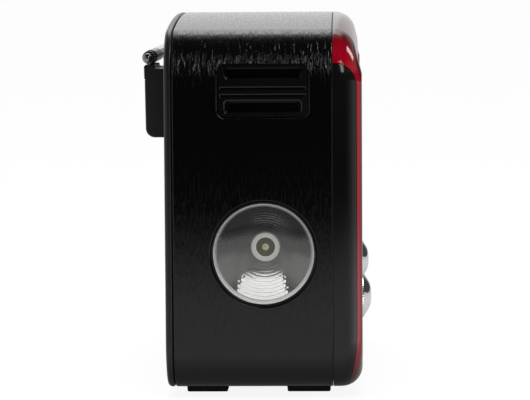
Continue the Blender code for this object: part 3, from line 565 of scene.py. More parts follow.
# key: name, colour, roughness range, grain depth (m), grain scale, colour drift, grain strength
PLASTICS = {
    "cover": ("rear_cover_satin_black", (0.014, 0.014, 0.0145), (0.24, 0.36),
              0.00007, 1300.0, 0.15, 0.25),
    "rest": ("aerial_rest_black", (0.020, 0.020, 0.021), (0.30, 0.42),
             0.00007, 1300.0, 0.15, 0.3),
    "grille": ("grille_matt_black", (0.014, 0.014, 0.015), (0.38, 0.5),
               0.00006, 1500.0, 0.12, 0.25),
    "foot": ("foot_rubber_black", (0.016, 0.016, 0.016), (0.6, 0.8), 0.0001, 1100.0, 0.2, 0.4),
    "rim": ("reflector_rim_silver", (0.62, 0.62, 0.61), (0.2, 0.3), 0.00003, 900.0, 0.05, 0.15),
    "cone": ("cone_paper", (0.030, 0.028, 0.026), (0.8, 0.95), 0.0002, 600.0, 0.25, 0.5),
    "magnet": ("magnet_ferrite", (0.06, 0.06, 0.065), (0.5, 0.65), 0.0001, 700.0, 0.2, 0.4),
    "scale": ("dial_scale_cream", (0.70, 0.62, 0.44), (0.4, 0.5), 0.00005, 900.0, 0.05, 0.15),
    "ink": ("dial_ink_black", (0.02, 0.018, 0.016), (0.4, 0.5), 0.00003, 900.0, 0.12, 0.25),
    "pointer": ("pointer_orange", (0.80, 0.13, 0.015), (0.3, 0.4), 0.00003, 900.0, 0.06, 0.25),
    "siren": ("button_red", (0.42, 0.008, 0.010), (0.2, 0.3), 0.00004, 1200.0, 0.08, 0.25),
    "button": ("button_black", (0.02, 0.02, 0.021), (0.28, 0.38), 0.00005, 1200.0, 0.12, 0.25),
    "white": ("moulded_white", (0.68, 0.68, 0.64), (0.35, 0.5), 0.00005, 900.0, 0.05, 0.2),
    "board": ("board_green", (0.015, 0.10, 0.04), (0.35, 0.5), 0.00004, 500.0, 0.2, 0.3),
    "tray": ("tray_black", (0.02, 0.02, 0.02), (0.45, 0.6), 0.00006, 1200.0, 0.12, 0.25),
    "crank_knob": ("crank_knob_red", (0.36, 0.004, 0.010), (0.22, 0.34),
                   0.00005, 1200.0, 0.08, 0.25),
    "collar": ("lamp_collar_white_painted_glow", (0.90, 0.89, 0.86), (0.25, 0.35),
               0.00003, 900.0, 0.03, 0.15),
    "led_well": ("led_well_grey", (0.46, 0.45, 0.38), (0.25, 0.4), 0.00004, 900.0, 0.1, 0.25),
}
# key: name, colour, roughness range, then for brushed metal the brushing scale and strength
METALS = {
    "chrome": ("chrome_knob", (0.80, 0.80, 0.81), (0.04, 0.10)),
    "aerial": ("aerial_chrome", (0.60, 0.60, 0.60), (0.07, 0.14), (30, 900, 900), 0.08),
    "aerial_tip": ("aerial_tip_chrome", (0.30, 0.295, 0.28), (0.12, 0.24)),
    "steel": ("steel_zinc", (0.48, 0.48, 0.49), (0.25, 0.4), (60, 900, 900), 0.2),
    "screw": ("screw_black_steel", (0.10, 0.10, 0.105), (0.28, 0.4)),
    "cell": ("cell_jacket", (0.50, 0.50, 0.53), (0.22, 0.35)),
    "copper": ("coil_copper", (0.72, 0.34, 0.16), (0.2, 0.35), (2600, 20, 20), 0.6),
}
SHADERS = {
    "cabinet": wood_grain(),
    "red": gloss_red(),
    "frame": gloss_black("frame_gloss_black", rough=(0.06, 0.13)),
    "grip": gloss_black("grip_black", rough=(0.10, 0.18)),
    "bezel": gloss_black("bezel_black", rough=(0.08, 0.16)),
    "bowl": plated_bowl(),
    "lens": clear_plastic("torch_lens_clear"),
    "window": clear_plastic("dial_window_clear"),
    # the unlit LED dome is given a faint glow: painted light
    "led": Shader("led_phosphor_painted_glow").set(
        Base_Color=(0.95, 0.92, 0.66, 1), Emission_Color=(0.95, 0.92, 0.70, 1),
        Emission_Strength=0.22, Roughness=0.25, Coat_Weight=1.0),
}
SHADERS.update({key: plastic(*row) for key, row in PLASTICS.items()})
SHADERS.update({key: metal(*row) for key, row in METALS.items()})
# the white collar round the lamp glows a little, standing in for light bounced inside the bowl:
# painted light
SHADERS["collar"].set(Emission_Color=(1.0, 0.98, 0.95, 1), Emission_Strength=0.30)


# ------------------------------------------------------------------ cabinet sleeve
def wrap_uv(cabinet_mesh):
    """uv in metres: u runs round the cabinet from the middle of the top, v across its depth."""
    uv = cabinet_mesh.uv_layers.new(name="wrap")
    cx, top_z, bottom_z = HALF_WIDTH - CORNER_R, 137.28, BASE_Z + CORNER_R  # corner centres
    quarter = CORNER_R * math.pi / 2
    side = cx + quarter                             # run to the top of the straight side
    low = side + top_z - bottom_z                   # run to its bottom

    def run(x, z):
        if z > top_z and x > cx:
            return side - CORNER_R * math.atan2(z - top_z, x - cx)
        if z >= top_z:
            return x
        if z < bottom_z and x > cx:
            return low + CORNER_R * math.atan2(bottom_z - z, x - cx)
        if z < bottom_z:
            return low + quarter + (cx - x)
        return side + top_z - z

    for loop in cabinet_mesh.loops:
        co = cabinet_mesh.vertices[loop.vertex_index].co
        sign = 1 if co.x > 0 else -1
        uv.data[loop.index].uv = (sign * run(abs(co.x), co.z) * MM, co.y * MM)


def is_opening_edge(centre, normal):
    """Faces of the torch opening and of the grip recesses' lips."""
    if torch_radius(centre) < TORCH_R + 0.9 and centre.x < -90 and abs(normal.x) < 0.985:
        return True
    around_grip = (abs(centre.x) > 95 and abs(normal.x) < 0.93
                   and abs(centre.y) < GRIP_HALF_Y + 0.6
                   and GRIP_Z0 - 0.6 < centre.z < GRIP_Z1 + 0.6)
    return around_grip and (abs(centre.y) > GRIP_HALF_Y - 1.5 or centre.z < GRIP_Z0 + 1.5
                            or abs(normal.z) > 0.8 or normal.z < -0.1)


def cabinet():
    front, back = FRONT_SEAM_Y + GAP, REAR_SEAM_Y - GAP
    cab = shell([(front, 0.22), (front + 0.06, 0.09), (front + 0.16, 0.02), (front + 0.3, 0.0),
                 (-12.0, 0.0), (0.0, 0.0), (12.0, 0.0), (24.0, 0.0), (back - 0.9, 0.0),
                 (back - 0.55, 0.08), (back - 0.22, 0.3), (back, 0.62)])
    cut(cab, prism(outline(WALL), "y", FRONT_SEAM_Y - 5, REAR_SEAM_Y + 5))
    # torch opening with a turned lead-in
    cut(cab, torch_turn([(0, -5), (TORCH_R + 5.6, -5), (TORCH_R + 0.62, 0),
                         (TORCH_R + 0.30, 0.16), (TORCH_R + 0.08, 0.45), (TORCH_R, 0.9),
                         (TORCH_R, 8), (0, 8)], n=128, rounding=0))
    # grip openings: distance out from the side, outset
    lip = ((-9.0, 0.0), (-0.80, 0.0), (-0.55, 0.06), (-0.30, 0.20), (-0.12, 0.42),
           (0.02, 0.75), (5.0, 6.0))
    for side in (-1, 1):
        cut(cab, flared(-GRIP_HALF_Y, GRIP_HALF_Y, GRIP_Z0, GRIP_Z1, 3.2, 10, "x",
                        [(side * (HALF_WIDTH + dx), o) for dx, o in lip]))
    wrap_uv(cab.data)
    finish(cab, "cabinet_shell_fine", "chassis", ("cabinet", "bezel"),
           angle=30, second=is_opening_edge)


# ------------------------------------------------------------------ rear
def rear_cover():
    lip = WALL + GAP                        # the cover's lip slides inside the cabinet
    stations = [(REAR_SEAM_Y - 5.5, lip), (REAR_SEAM_Y, lip), (REAR_SEAM_Y, 0.75),
                (REAR_SEAM_Y + 0.12, 0.3), (REAR_SEAM_Y + 0.4, 0.04), (REAR_SEAM_Y + 0.7, 0.0),
                (BACK_Y - 1.95, 0.0)]
    edge = 1.9
    stations += [(BACK_Y - edge + edge * math.sin(a), edge * (1 - math.cos(a)))
                 for a in degrees(0, 90.0, 8)[1:]]
    cover = shell(stations)
    inside_y, outside_y = REAR_SEAM_Y - 8, BACK_Y + 5
    cut(cover, prism(outline(lip + 1.8), "y", inside_y, REAR_SEAM_Y + 0.8))
    cut(cover, turn([(0, inside_y), (DISH_R + GAP, inside_y), (DISH_R + GAP, BACK_Y - 0.5),
                     (DISH_R + 0.8, BACK_Y + 0.02), (DISH_R + 5, outside_y), (0, outside_y)],
                    "y", CRANK, 128, 0))
    cut(cover, prism(rounded_rect(*DOOR, 3.0), "y", inside_y, outside_y))
    for i in range(5):                      # slots above the battery door
        z = 86.0 + 5.0 * i
        cut(cover, flared(-78, -30, z, z + 2.2, 1.05, 5, "y",
                          [(inside_y, 0), (BACK_Y - 0.5, 0), (BACK_Y - 0.1, 0.2),
                           (BACK_Y + 3, 3.3)]))
    for x, z in SCREWS:
        join(cover, prism(circle(x, z, 4.6, 48), "y", REAR_SEAM_Y - 4, REAR_SEAM_Y + 1.4))
        cut(cover, turn([(0, inside_y), (1.8, inside_y), (1.8, REAR_SEAM_Y - 1.0),
                         (3.2, REAR_SEAM_Y - 1.0), (3.2, BACK_Y - 0.4), (3.6, BACK_Y + 0.01),
                         (8, outside_y), (0, outside_y)], "y", (x, z), 48, 0))
    cut(cover, prism(circle(AERIAL_PIVOT.x, AERIAL_PIVOT.z, 3.3, 48), "y", inside_y, outside_y))
    finish(cover, "rear_cover_fine", "chassis", "cover", angle=30)


def cover_screws():
    for i, (x, z) in enumerate(SCREWS):
        screw = turn([(0, 30.0), (1.4, 30.0), (1.4, REAR_SEAM_Y - 0.6), (2.8, REAR_SEAM_Y - 0.6),
                      (2.8, REAR_SEAM_Y + 0.9), (1.9, REAR_SEAM_Y + 1.5),
                      (0, REAR_SEAM_Y + 1.5)], "y", (x, z), 40)
        for quarter in (0, 90):             # cross slot, each screw at its own angle
            slot = box(-2.1, 2.1, REAR_SEAM_Y + 0.7, REAR_SEAM_Y + 3, -0.35, 0.35)
            angle = 0.4 + 0.7 * i + math.radians(quarter)
            slot.data.transform(Matrix.Translation((x, 0, z)) @ Matrix.Rotation(angle, 4, "Y"))
            cut(screw, slot)
        finish(screw, "screw_%d_fine" % (i + 1), "chassis", "screw")


def rest_side(e):
    """Side view (y, z) of the aerial rest inset by e: rounded block, groove, cap and saddle."""
    return [(BACK_Y + GAP, 112.4 + e), *arc(47.2 - e, 116.4 + e, 4.0, degrees(-90, 90.0, 12)),
            (51.5 - e, 137.0), (51.48 - e, 137.25), (51.36 - e, 137.38), (51.33 - e, 137.5),
            (51.38 - e, 137.62), (51.6 - e, 137.75), (51.7 - e, 138.0),
            (51.8 - e, 142.9 - e), (51.7 - e, 143.4 - e), (51.3 - e, 143.7 - e),
            (47.3 + e, 143.7 - e), (46.95 + e, 143.45 - e), (46.9 + e, 142.6),
            (46.5, 142.3 - e * 0.3), (BACK_Y + GAP, 142.3 - e * 0.3)]


def aerial_rest():
    edge = ((0.0, 0.6), (0.1, 0.3), (0.35, 0.08), (0.7, 0.0))   # distance from the end, inset
    stations = [(-93.0 + dx, e) for dx, e in edge]
    stations += [(-60.0 - dx, e) for dx, e in reversed(edge)]
    rest = loft([[(x, y, z) for y, z in rest_side(e)] for x, e in stations])
    finish(rest, "antenna_rest_fine", "chassis", "rest", angle=35)


def battery_door():
    x0, x1, z0, z1 = DOOR
    door = plate(x0 + GAP, x1 - GAP, z0 + GAP, z1 - GAP, 2.7, 10,
                 front=REAR_SEAM_Y + 0.9, back=BACK_Y - 0.2, edge=0.35)
    for i in range(4):                      # grooves across the upper part
        z = 60.0 + 2.0 * i
        cut(door, flared(-60, -40, z, z + 0.9, 0.44, 4, "y",
                         [(BACK_Y - 0.9, 0.0), (BACK_Y - 0.3, 0.0), (BACK_Y, 0.2),
                          (BACK_Y + 1, 0.6)]))
    # arrow-shaped thumb mark
    cut(door, prism([(-52.5, 57.0), (-47.5, 57.0), (-50.0, 53.5)], "y", BACK_Y - 0.6, BACK_Y + 1))
    finish(door, "battery_door_fine", "door", "cover")


# ------------------------------------------------------------------ front frame and red fascia
PANEL_Z0, PANEL_Z1 = 12.0, 139.0


def edge_roll(depth, reach, inset):
    """Inset of a rounded edge at a depth behind the face."""
    if depth >= reach:
        return 0.0
    return inset * (1 - math.sqrt(max(0.0, 1 - ((reach - depth) / reach) ** 2)))


def top_drop(depth):
    """Fall of the top edge at a depth behind the face: a round, then a straight lean."""
    angle = math.radians(172.5)             # where the round becomes the lean
    lean_depth = TOP_DEPTH + TOP_ROUND * math.cos(angle)
    lean_drop = TOP_ROUND - TOP_ROUND * math.sin(angle)
    if depth >= TOP_DEPTH:
        return 0.0
    if depth >= lean_depth:
        return TOP_ROUND - math.sqrt(TOP_ROUND ** 2 - (TOP_DEPTH - depth) ** 2)
    return lean_drop + (TOP_DROP - lean_drop) * (1 - depth / lean_depth)


def front_body():
    """Solid front of the radio, from the face to the front seam."""
    seam = FRONT_SEAM_Y - FACE_Y
    stations = [(d, 0.0) for d in (0.0, 0.12, 0.3, 0.55, 0.9, 1.3, 1.8, 2.4, 3.0, 3.7, 4.5, 5.4,
                                   6.4, 7.5, 8.6, 9.8, 11.0, 11.9, seam - 0.35)]
    stations += [(seam - 0.1, 0.05), (seam, 0.18)]      # depth, inset
    rings = []
    for depth, inset in stations:
        drop = top_drop(depth)
        rise = edge_roll(depth, BOTTOM_ROUND, BOTTOM_ROUND)
        rings.append(ring(FACE_Y + depth,
                          half=HALF_WIDTH - edge_roll(depth, SIDE_DEPTH, SIDE_INSET) - inset,
                          bottom=BASE_Z + rise + inset,
                          top=TOP_Z - drop - inset,
                          top_r=CORNER_R - drop / TOP_DROP * 18.0,
                          bottom_r=CORNER_R - rise * 0.6))
    return loft(rings)


def cheek(gap=0.0):
    """Side view (y, z) of the black frame, grown by a gap."""
    front, top = CHEEK_Y - gap, CHEEK_Z + gap
    r, low_r = 9.5 + gap, 25.0
    points = [(FRONT_SEAM_Y + 1.0, top)]
    points += arc(front + r, top - r, r, degrees(90, 90.0, 24))
    points += [(front + low_r * 0.42 * (1 + math.cos(a)), 30.0 + low_r * 1.25 * math.sin(a))
               for a in degrees(180, 68.0, 24)]
    return points + [(FRONT_SEAM_Y + 1.0, -5.0)]


def cut_holes(solid, y0, y1):
    """Holes for the speaker, knobs, buttons and band switch."""
    cut(solid, prism(circle(*SPEAKER, SPEAKER_R + 0.4, 128), "y", y0, y1))
    for x, r in ((-KNOB_X, 4.0), (KNOB_X, 4.0), *((x, 5.0) for x in BUTTON_X.values())):
        cut(solid, prism(circle(x, KNOB_Z, r, 48), "y", y0, y1))
    cut(solid, prism(rounded_rect(-6, 6, KNOB_Z - 3.0, KNOB_Z + 3.0, 1.0, 5), "y", y0, y1))


def front_frame():
    part = front_body()
    keep(part, prism(cheek(), "x", -HALF_WIDTH - 5, HALF_WIDTH + 5))
    cut(part, box(-RIM_X - 0.5, RIM_X + 0.5, -60, -38.3, PANEL_Z0 - GAP, PANEL_Z1 + GAP))
    cavity = prism(outline(WALL), "y", -36.2, 0)
    cut(cavity, box(-120, 120, -50, 10, CHEEK_Z - 2.4, 200))
    cut(part, cavity)
    margin_x, margin_z = DIAL_HALF_X + 1, DIAL_HALF_Z + 1
    cut(part, prism(rounded_rect(DIAL_X - margin_x, DIAL_X + margin_x,
                                 DIAL_Z - margin_z, DIAL_Z + margin_z, 3), "y", -45, -20))
    cut_holes(part, -45, -20)
    finish(part, "front_frame_fine", "chassis", "frame", angle=28)


def seam_tongue():
    """Band behind the front seam, with a thin lip that fills the gap."""
    tongue = shell([(-31.6, WALL + 0.25), (-26.5, WALL + 0.25)])
    cut(tongue, prism(outline(WALL + 1.5), "y", -40, -20))
    lip = shell([(FRONT_SEAM_Y - 0.16, 0.2), (FRONT_SEAM_Y + 0.16, 0.2)])
    cut(lip, prism(outline(WALL + 1.0), "y", -40, -20))
    join(tongue, lip)
    finish(tongue, "seam_tongue_front", "chassis", "tray")


def front_fascia():
    part = front_body()
    frame_room = prism(cheek(0.22), "x", -HALF_WIDTH - 6, HALF_WIDTH + 6)
    cut(frame_room, box(-RIM_X - 0.2, RIM_X + 0.2, -60, -38.6, PANEL_Z0, PANEL_Z1))
    cut(part, frame_room)
    # recess in front of the panel, open at the top
    cut(part, flared(-RIM_X, RIM_X, 15.0, 230.0, 5.0, 10, "y",
                     [(-60.0, 19.7), (FACE_Y - 0.2, 0.75), (FACE_Y + 0.1, 0.45),
                      (FACE_Y + 0.45, 0.3), (PANEL_Y - 0.5, 0.25), (PANEL_Y - 0.15, 0.1),
                      (PANEL_Y, -0.25)]))
    hollow = shell([(-36.6, 6.6), (-33.5, 3.6), (-31.0, 2.6), (-25.0, 2.5)])
    cut(hollow, box(-130, 130, -60, 10, -10, CHEEK_Z + GAP + 0.01))
    cut(part, hollow)
    cut(part, flared(DIAL_X - DIAL_HALF_X - GAP, DIAL_X + DIAL_HALF_X + GAP,
                     DIAL_Z - DIAL_HALF_Z - GAP, DIAL_Z + DIAL_HALF_Z + GAP, 4.3, 12, "y",
                     [(-20, 0), (PANEL_Y + 0.6, 0), (PANEL_Y + 0.15, 0.2), (PANEL_Y - 0.1, 0.6),
                      (-60, 22)]))
    cut_holes(part, -60, -20)
    bevel(part, width=0.32, segments=2, angle=50)
    finish(part, "front_fascia_fine", "chassis", "red", angle=28)


# ------------------------------------------------------------------ speaker; profiles: radius, y
def speaker():
    x, z = SPEAKER
    grille = turn([(0, -41.7), (12, -41.65), (24, -41.45), (33, -41.1), (35.6, -41.2),
                   (36.8, -41.0), (37.7, -40.4), (SPEAKER_R, -39.8), (SPEAKER_R, -37.6),
                   (0, -37.6)], "y", SPEAKER, 160, 0.3)
    pitch, half_slot, slot_r = 3.9, 1.1, 33.2
    for i in range(-8, 9):
        squared = slot_r ** 2 - (abs(pitch * i) + half_slot) ** 2
        if squared > 60:                    # no slot where it would be too short
            half, slot_z = math.sqrt(squared), z + pitch * i
            cut(grille, flared(x - half, x + half, slot_z - half_slot, slot_z + half_slot,
                               1.0, 5, "y", [(-35, 0), (-40.9, 0), (-41.5, 0.25), (-45, 3.0)]))
    finish(grille, "speaker_grille_fine", "chassis", "grille", angle=35)
    basket = turn([(39.5, -35.9), (39.5, -34.7), (33.5, -34.7), (18.5, -24.0), (11.0, -24.0),
                   (11.0, -25.2), (17.8, -25.2), (32.0, -35.9)], "y", SPEAKER, 96, 0.4)
    finish(basket, "speaker_basket_fine", "chassis", "steel")
    cone = turn([(0, -31.6), (3, -31.4), (6, -31.0), (8.5, -29.2), (12.5, -28.75), (16.5, -28.6),
                 (20.0, -30.6), (24.0, -33.2), (27.5, -35.3), (28.4, -36.2), (29.5, -36.9),
                 (30.4, -37.2), (31.2, -36.8), (31.4, -36.3), (16.8, -25.8), (10.5, -25.6),
                 (10.5, -27.8), (0, -29.8)], "y", SPEAKER, 96, 0.3)
    finish(cone, "speaker_cone_fine", "chassis", "cone")
    magnet = turn([(0, -27.2), (9.0, -25.3), (9.0, -23.7), (16.0, -23.7), (16.0, -14.0),
                   (14.5, -12.5), (0, -12.5)], "y", SPEAKER, 72, 0.3)
    finish(magnet, "speaker_magnet_fine", "chassis", "magnet")


# ------------------------------------------------------------------ dial
def dial_plate(margin, r, n, front, back, edge):
    """Plate of the dial's size less a margin."""
    return plate(DIAL_X - DIAL_HALF_X + margin, DIAL_X + DIAL_HALF_X - margin,
                 DIAL_Z - DIAL_HALF_Z + margin, DIAL_Z + DIAL_HALF_Z - margin,
                 r, n, front, back, edge)


def dial_marks():
    front, back = MARKS_Y - 0.04, MARKS_Y + 0.08
    count, long_mark, short_mark = 41, 3.0, 1.6
    marks = []
    for up, major in ((1, 5), (-1, 4)):     # upper and lower band; every how many is long
        root = DIAL_Z + up * 5.0 - up * 3.2
        for i in range(count):
            x = DIAL_X - 30.0 + 60.0 * i / (count - 1)
            z0, z1 = sorted((root, root + up * (short_mark if i % major else long_mark)))
            marks.append(box(x - 0.12, x + 0.12, front, back, z0, z1))
    marks.append(box(DIAL_X - 31, DIAL_X + 31, front, back, DIAL_Z - 0.18, DIAL_Z + 0.18))
    finish(gather(*marks), "dial_marks", "chassis", "ink", weighted=False)


def text_mesh(text, x, z):
    curve = bpy.data.curves.new("text", "FONT")
    curve.body = text
    curve.size = 4.0 * MM
    curve.align_x = "CENTER"
    curve.align_y = "CENTER"
    curve.extrude = 0.00004
    letters = bpy.data.objects.new("text", curve)
    bpy.context.scene.collection.objects.link(letters)
    depsgraph = bpy.context.evaluated_depsgraph_get()
    mesh = bpy.data.meshes.new_from_object(letters.evaluated_get(depsgraph))
    bpy.data.objects.remove(letters, do_unlink=True)
    upright = Matrix.Rotation(math.radians(90), 4, "X")
    mesh.transform(Matrix.Translation(to_row((x, MARKS_Y, z))) @ upright)
    return mesh


def dial_numbers():
    bands = ((8.2, ("88", "92", "96", "100", "104", "108")),    # height from the middle, texts
             (-8.6, ("53", "70", "90", "110", "130", "160")))
    bm = bmesh.new()
    for dz, texts in bands:
        for i, text in enumerate(texts):
            bm.from_mesh(text_mesh(text, DIAL_X - 27.0 + 10.8 * i, DIAL_Z + dz))
    mesh = bpy.data.meshes.new("dial_numbers")
    bm.to_mesh(mesh)
    bm.free()
    numbers = bpy.data.objects.new("dial_numbers", mesh)
    bpy.context.scene.collection.objects.link(numbers)
    mesh.materials.clear()
    mesh.materials.append(SHADERS["ink"].material)
    for face in mesh.polygons:
        face.material_index = 0
    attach(numbers, "chassis")


def dial():
    window = dial_plate(0, 4.0, 14, front=-41.3, back=-39.3, edge=0.4)
    finish(window, "dial_window_fine", "chassis", "window")
    scale = dial_plate(1, 2, 10, front=-36.0, back=-34.8, edge=0.2)
    finish(scale, "dial_scale_fine", "chassis", "scale")
    dial_marks()
    dial_numbers()
    pointer = plate(DIAL_X - 0.6, DIAL_X + 0.6, DIAL_Z - 13, DIAL_Z + 13, 0.5, 4,
                    front=-37.6, back=-36.5, edge=0.15)
    finish(pointer, "dial_pointer_fine", "pointer", "pointer")


# ------------------------------------------------------------------ knobs, buttons, switch
def knob(name, x, body):
    def knurl(radius, station, angle):
        on_skirt = radius > 9.6 and station > -42.9
        return -0.10 * (0.5 - 0.5 * math.cos(angle * 60)) if on_skirt else 0.0

    part = turn([(0, -46.4), (1.6, -46.38), (3.2, -46.22), (4.6, -45.88), (5.8, -45.38),
                 (6.9, -44.75), (7.9, -44.1), (8.8, -43.55), (9.5, -43.15), (9.95, -42.8),
                 (10.15, -42.3), (10.15, -41.3), (3.0, -41.3), (3.0, -33.5), (0, -33.5)],
                "y", (x, KNOB_Z), 240, 0.25, knurl)
    # pointer groove
    cut(part, flared(x - 0.4, x + 0.4, KNOB_Z + 2.0, KNOB_Z + 6.2, 0.38, 6, "y",
                     [(-45.4, 0.0), (-46.0, 0.0), (-46.2, 0.1), (-50, 1.0)]))
    finish(part, name, body, "chrome", angle=30)


def button(name, body, shader):
    part = turn([(0, -43.0), (1.5, -42.98), (3.0, -42.9), (3.9, -42.7), (4.5, -42.2),
                 (4.5, -38.0), (4.5, -35.6), (5.9, -35.6), (5.9, -34.2), (0, -34.2)],
                "y", (BUTTON_X[name], KNOB_Z), 64, 0.35)
    finish(part, name + "_fine", body, shader)


def band_switch():
    half, flange = 2.4, 4.5
    part = prism([(-42.9, KNOB_Z - half), (-35.8, KNOB_Z - half), (-35.8, KNOB_Z - flange),
                  (-34.6, KNOB_Z - flange), (-34.6, KNOB_Z + flange), (-35.8, KNOB_Z + flange),
                  (-35.8, KNOB_Z + half), (-42.9, KNOB_Z + half)], "x", -5.7, -1.7)
    for i in range(3):                      # finger grooves
        x = -4.9 + 1.0 * i
        cut(part, box(x, x + 0.4, -44, -42.5, KNOB_Z - 4, KNOB_Z + 4))
    bevel(part, width=0.15, segments=2)
    finish(part, "band_switch_fine", "band", "button")


def controls():
    knob("volume_knob_fine", -KNOB_X, "volume")
    knob("tuning_knob_fine", KNOB_X, "tuning")
    button("torch_button", "torch_key", "button")
    button("siren_button", "siren_key", "siren")
    band_switch()
    capacitor = box(KNOB_X - 10, KNOB_X + 10, -33.2, -20.0, KNOB_Z - 10, KNOB_Z + 10)
    bevel(capacitor, width=0.8, segments=3)
    finish(capacitor, "tuning_capacitor_fine", "chassis", "white")
    pot = turn([(0, -33.2), (8.2, -33.2), (8.2, -25.0), (0, -25.0)],
               "y", (-KNOB_X, KNOB_Z), 64, 0.5)
    finish(pot, "volume_pot_fine", "chassis", "steel")


# ------------------------------------------------------------------ torch; profiles: radius, depth
def bowl_depth(r):
    across = (r * r - REFLECTOR_R0 ** 2) / (REFLECTOR_R1 ** 2 - REFLECTOR_R0 ** 2)
    return REFLECTOR_X0 + (REFLECTOR_X1 - REFLECTOR_X0) * across ** 0.86


def polar_uv(mesh):
    """uv: turns about the torch axis, radius in mm; no face spans the join of the turns."""
    uv = mesh.uv_layers.new(name="polar")
    for face in mesh.polygons:
        first = None
        for index in face.loop_indices:
            co = mesh.vertices[mesh.loops[index].vertex_index].co
            angle = math.atan2(co.z - TORCH[1], co.y - TORCH[0]) / (2 * math.pi)
            if first is None:
                first = angle
            if angle - first > 0.5:
                angle -= 1.0
            if angle - first < -0.5:
                angle += 1.0
            uv.data[index].uv = (angle, torch_radius(co))


def reflector():
    r0, r1, x0 = REFLECTOR_R0, REFLECTOR_R1, REFLECTOR_X0
    width = (r1 - r0) / FACET_ROWS
    profile = [(r0 - 1.6, x0 + 0.4), (r0 - 0.3, x0 + 0.05)]
    for i in range(FACET_ROWS):             # a facet, then the riser to the next
        start = r0 + width * i
        for t in (0.0, 0.5, 1.0):
            r = start + width * t
            profile.append((r, bowl_depth(start) - (r * r - start * start) / (2 * FACET_FOCUS)))
    profile += [(r1, REFLECTOR_X1), (20.25, 3.1), (20.5, 2.9), (21.35, 0.75), (21.5, 0.55),
                (21.68, 0.6), (21.68, 5.3), (24.0, 5.3), (24.0, 6.5), (21.2, 6.6)]
    for k in range(15):                     # smooth back of the bowl
        r = r1 - 0.6 - (r1 - r0 - 0.8) * k / 14
        profile.append((r + 0.9, bowl_depth(r) + 1.3))
    profile += [(r0 + 0.9, x0 + 2.4), (r0 - 1.6, x0 + 2.4)]
    part = torch_turn(profile, n=192, rounding=0.0)
    polar_uv(part.data)
    finish(part, "torch_reflector_fine", "chassis", ("bowl", "rim"), angle=40,
           second=lambda c, _: torch_radius(c) > 20.2 and c.x < -HALF_WIDTH + 3.4)


def torch():
    bezel = torch_turn([(21.75, 0.25), (22.0, 0.02), (TORCH_R - 0.35, 0.0), (TORCH_R - 0.12, 0.3),
                        (TORCH_R - 0.12, 2.6), (24.4, 2.7), (24.4, 5.0), (21.9, 5.0),
                        (21.75, 4.6)], n=160, rounding=0.10)
    finish(bezel, "torch_bezel_fine", "chassis", "bezel")
    lens = torch_turn([(0, 0.95), (7, 1.02), (14, 1.26), (19.0, 1.6), (20.6, 1.85), (20.75, 2.1),
                       (20.6, 2.6), (19.0, 2.65), (0, 2.4)], n=128, rounding=0.08)
    finish(lens, "torch_lens_fine", "chassis", "lens")
    reflector()
    # board with a raised collar round the lamp
    board = torch_turn([(0, 31.2), (2.6, 31.2), (4.2, 31.0), (4.35, 30.3), (4.7, 29.7),
                        (5.9, 29.7), (6.2, 29.9), (6.2, 30.3), (4.5, 31.2), (4.5, 33.3),
                        (11.0, 33.3), (11.0, 35.0), (0, 35.0)], n=96, rounding=0.12)
    finish(board, "torch_led_board_fine", "chassis", ("led_well", "collar"),
           angle=40,
           second=lambda c, _: 4.2 < torch_radius(c) < 6.5 and c.x < -HALF_WIDTH + 31.3)
    dome = torch_turn([(0, 29.0), (0.6, 29.1), (1.15, 29.45), (1.5, 30.1), (1.5, 31.25),
                       (0, 31.25)], n=48, rounding=0.15)
    finish(dome, "torch_led_dome", "chassis", "led")


# ------------------------------------------------------------------ grip inserts and feet
def grip_pocket(side, z0, z1, half, taper):
    """Cutter for a finger pocket that widens upwards by the taper."""
    # distance out from the side, inset
    stations = ((-5.4, 1.7), (-4.7, 1.3), (-1.5, 0.62), (-0.95, 0.45), (-0.65, 0.25),
                (-0.45, 0.0), (-0.33, -0.30), (-0.28, -0.6), (3.0, -3.0))
    mid = 0.5 * (z0 + z1)
    rings = []
    for dx, o in stations:
        points = rounded_rect(-half + o, half - o, z0 + o * 0.75, z1 - o * 0.75,
                              max(1.5 - o, 0.4), 8)
        rings.append([(side * (HALF_WIDTH + dx), y * (1 + taper * (z - mid)), z)
                      for y, z in points])
    return loft(rings)


def grips():
    # distance out from the side, outset of the two fine grooves
    groove = ((-1.5, -0.1), (-0.8, 0.0), (-0.55, 0.08), (-0.38, 0.26), (-0.30, 0.55), (2.0, 2.0))
    fit = 0.25
    for side, name in ((-1, "left"), (1, "right")):
        grip = prism(rounded_rect(-GRIP_HALF_Y + fit, GRIP_HALF_Y - fit,
                                  GRIP_Z0 + fit, GRIP_Z1 - fit, 2.95, 10),
                     "x", side * (HALF_WIDTH - 8.0), side * (HALF_WIDTH + 1.0))
        keep(grip, prism(outline(0.30, n=24), "y", -60, 60))
        cut(grip, grip_pocket(side, 138.1, 143.5, half=16.9, taper=0.022))
        cut(grip, grip_pocket(side, 123.7, 129.1, half=16.6, taper=0.0))
        for z in (130.75, 133.85):
            cut(grip, flared(-18.2, 18.2, z, z + 0.7, 0.33, 6, "x",
                             [(side * (HALF_WIDTH + dx), o) for dx, o in groove]))
        bevel(grip, width=0.45, segments=3, angle=40)
        finish(grip, "grip_insert_%s_fine" % name, "chassis", "grip",
               angle=50)


def feet():
    for row, y0, y1 in (("front", -28.6, -9.2), ("rear", 16.4, 34.8)):
        for side, x in (("left", -77.0), ("right", 77.0)):
            foot = flared(x - 8.0, x + 8.0, y0 + 0.3, y1 - 0.3, 1.0, 6, "z",
                          [(0.0, -0.4), (0.12, -0.15), (0.4, 0.0), (2.4, 0.2),
                           (BASE_Z - 0.02, 0.3)])
            finish(foot, "foot_%s_%s_fine" % (row, side), "chassis", "foot",
                   angle=40)


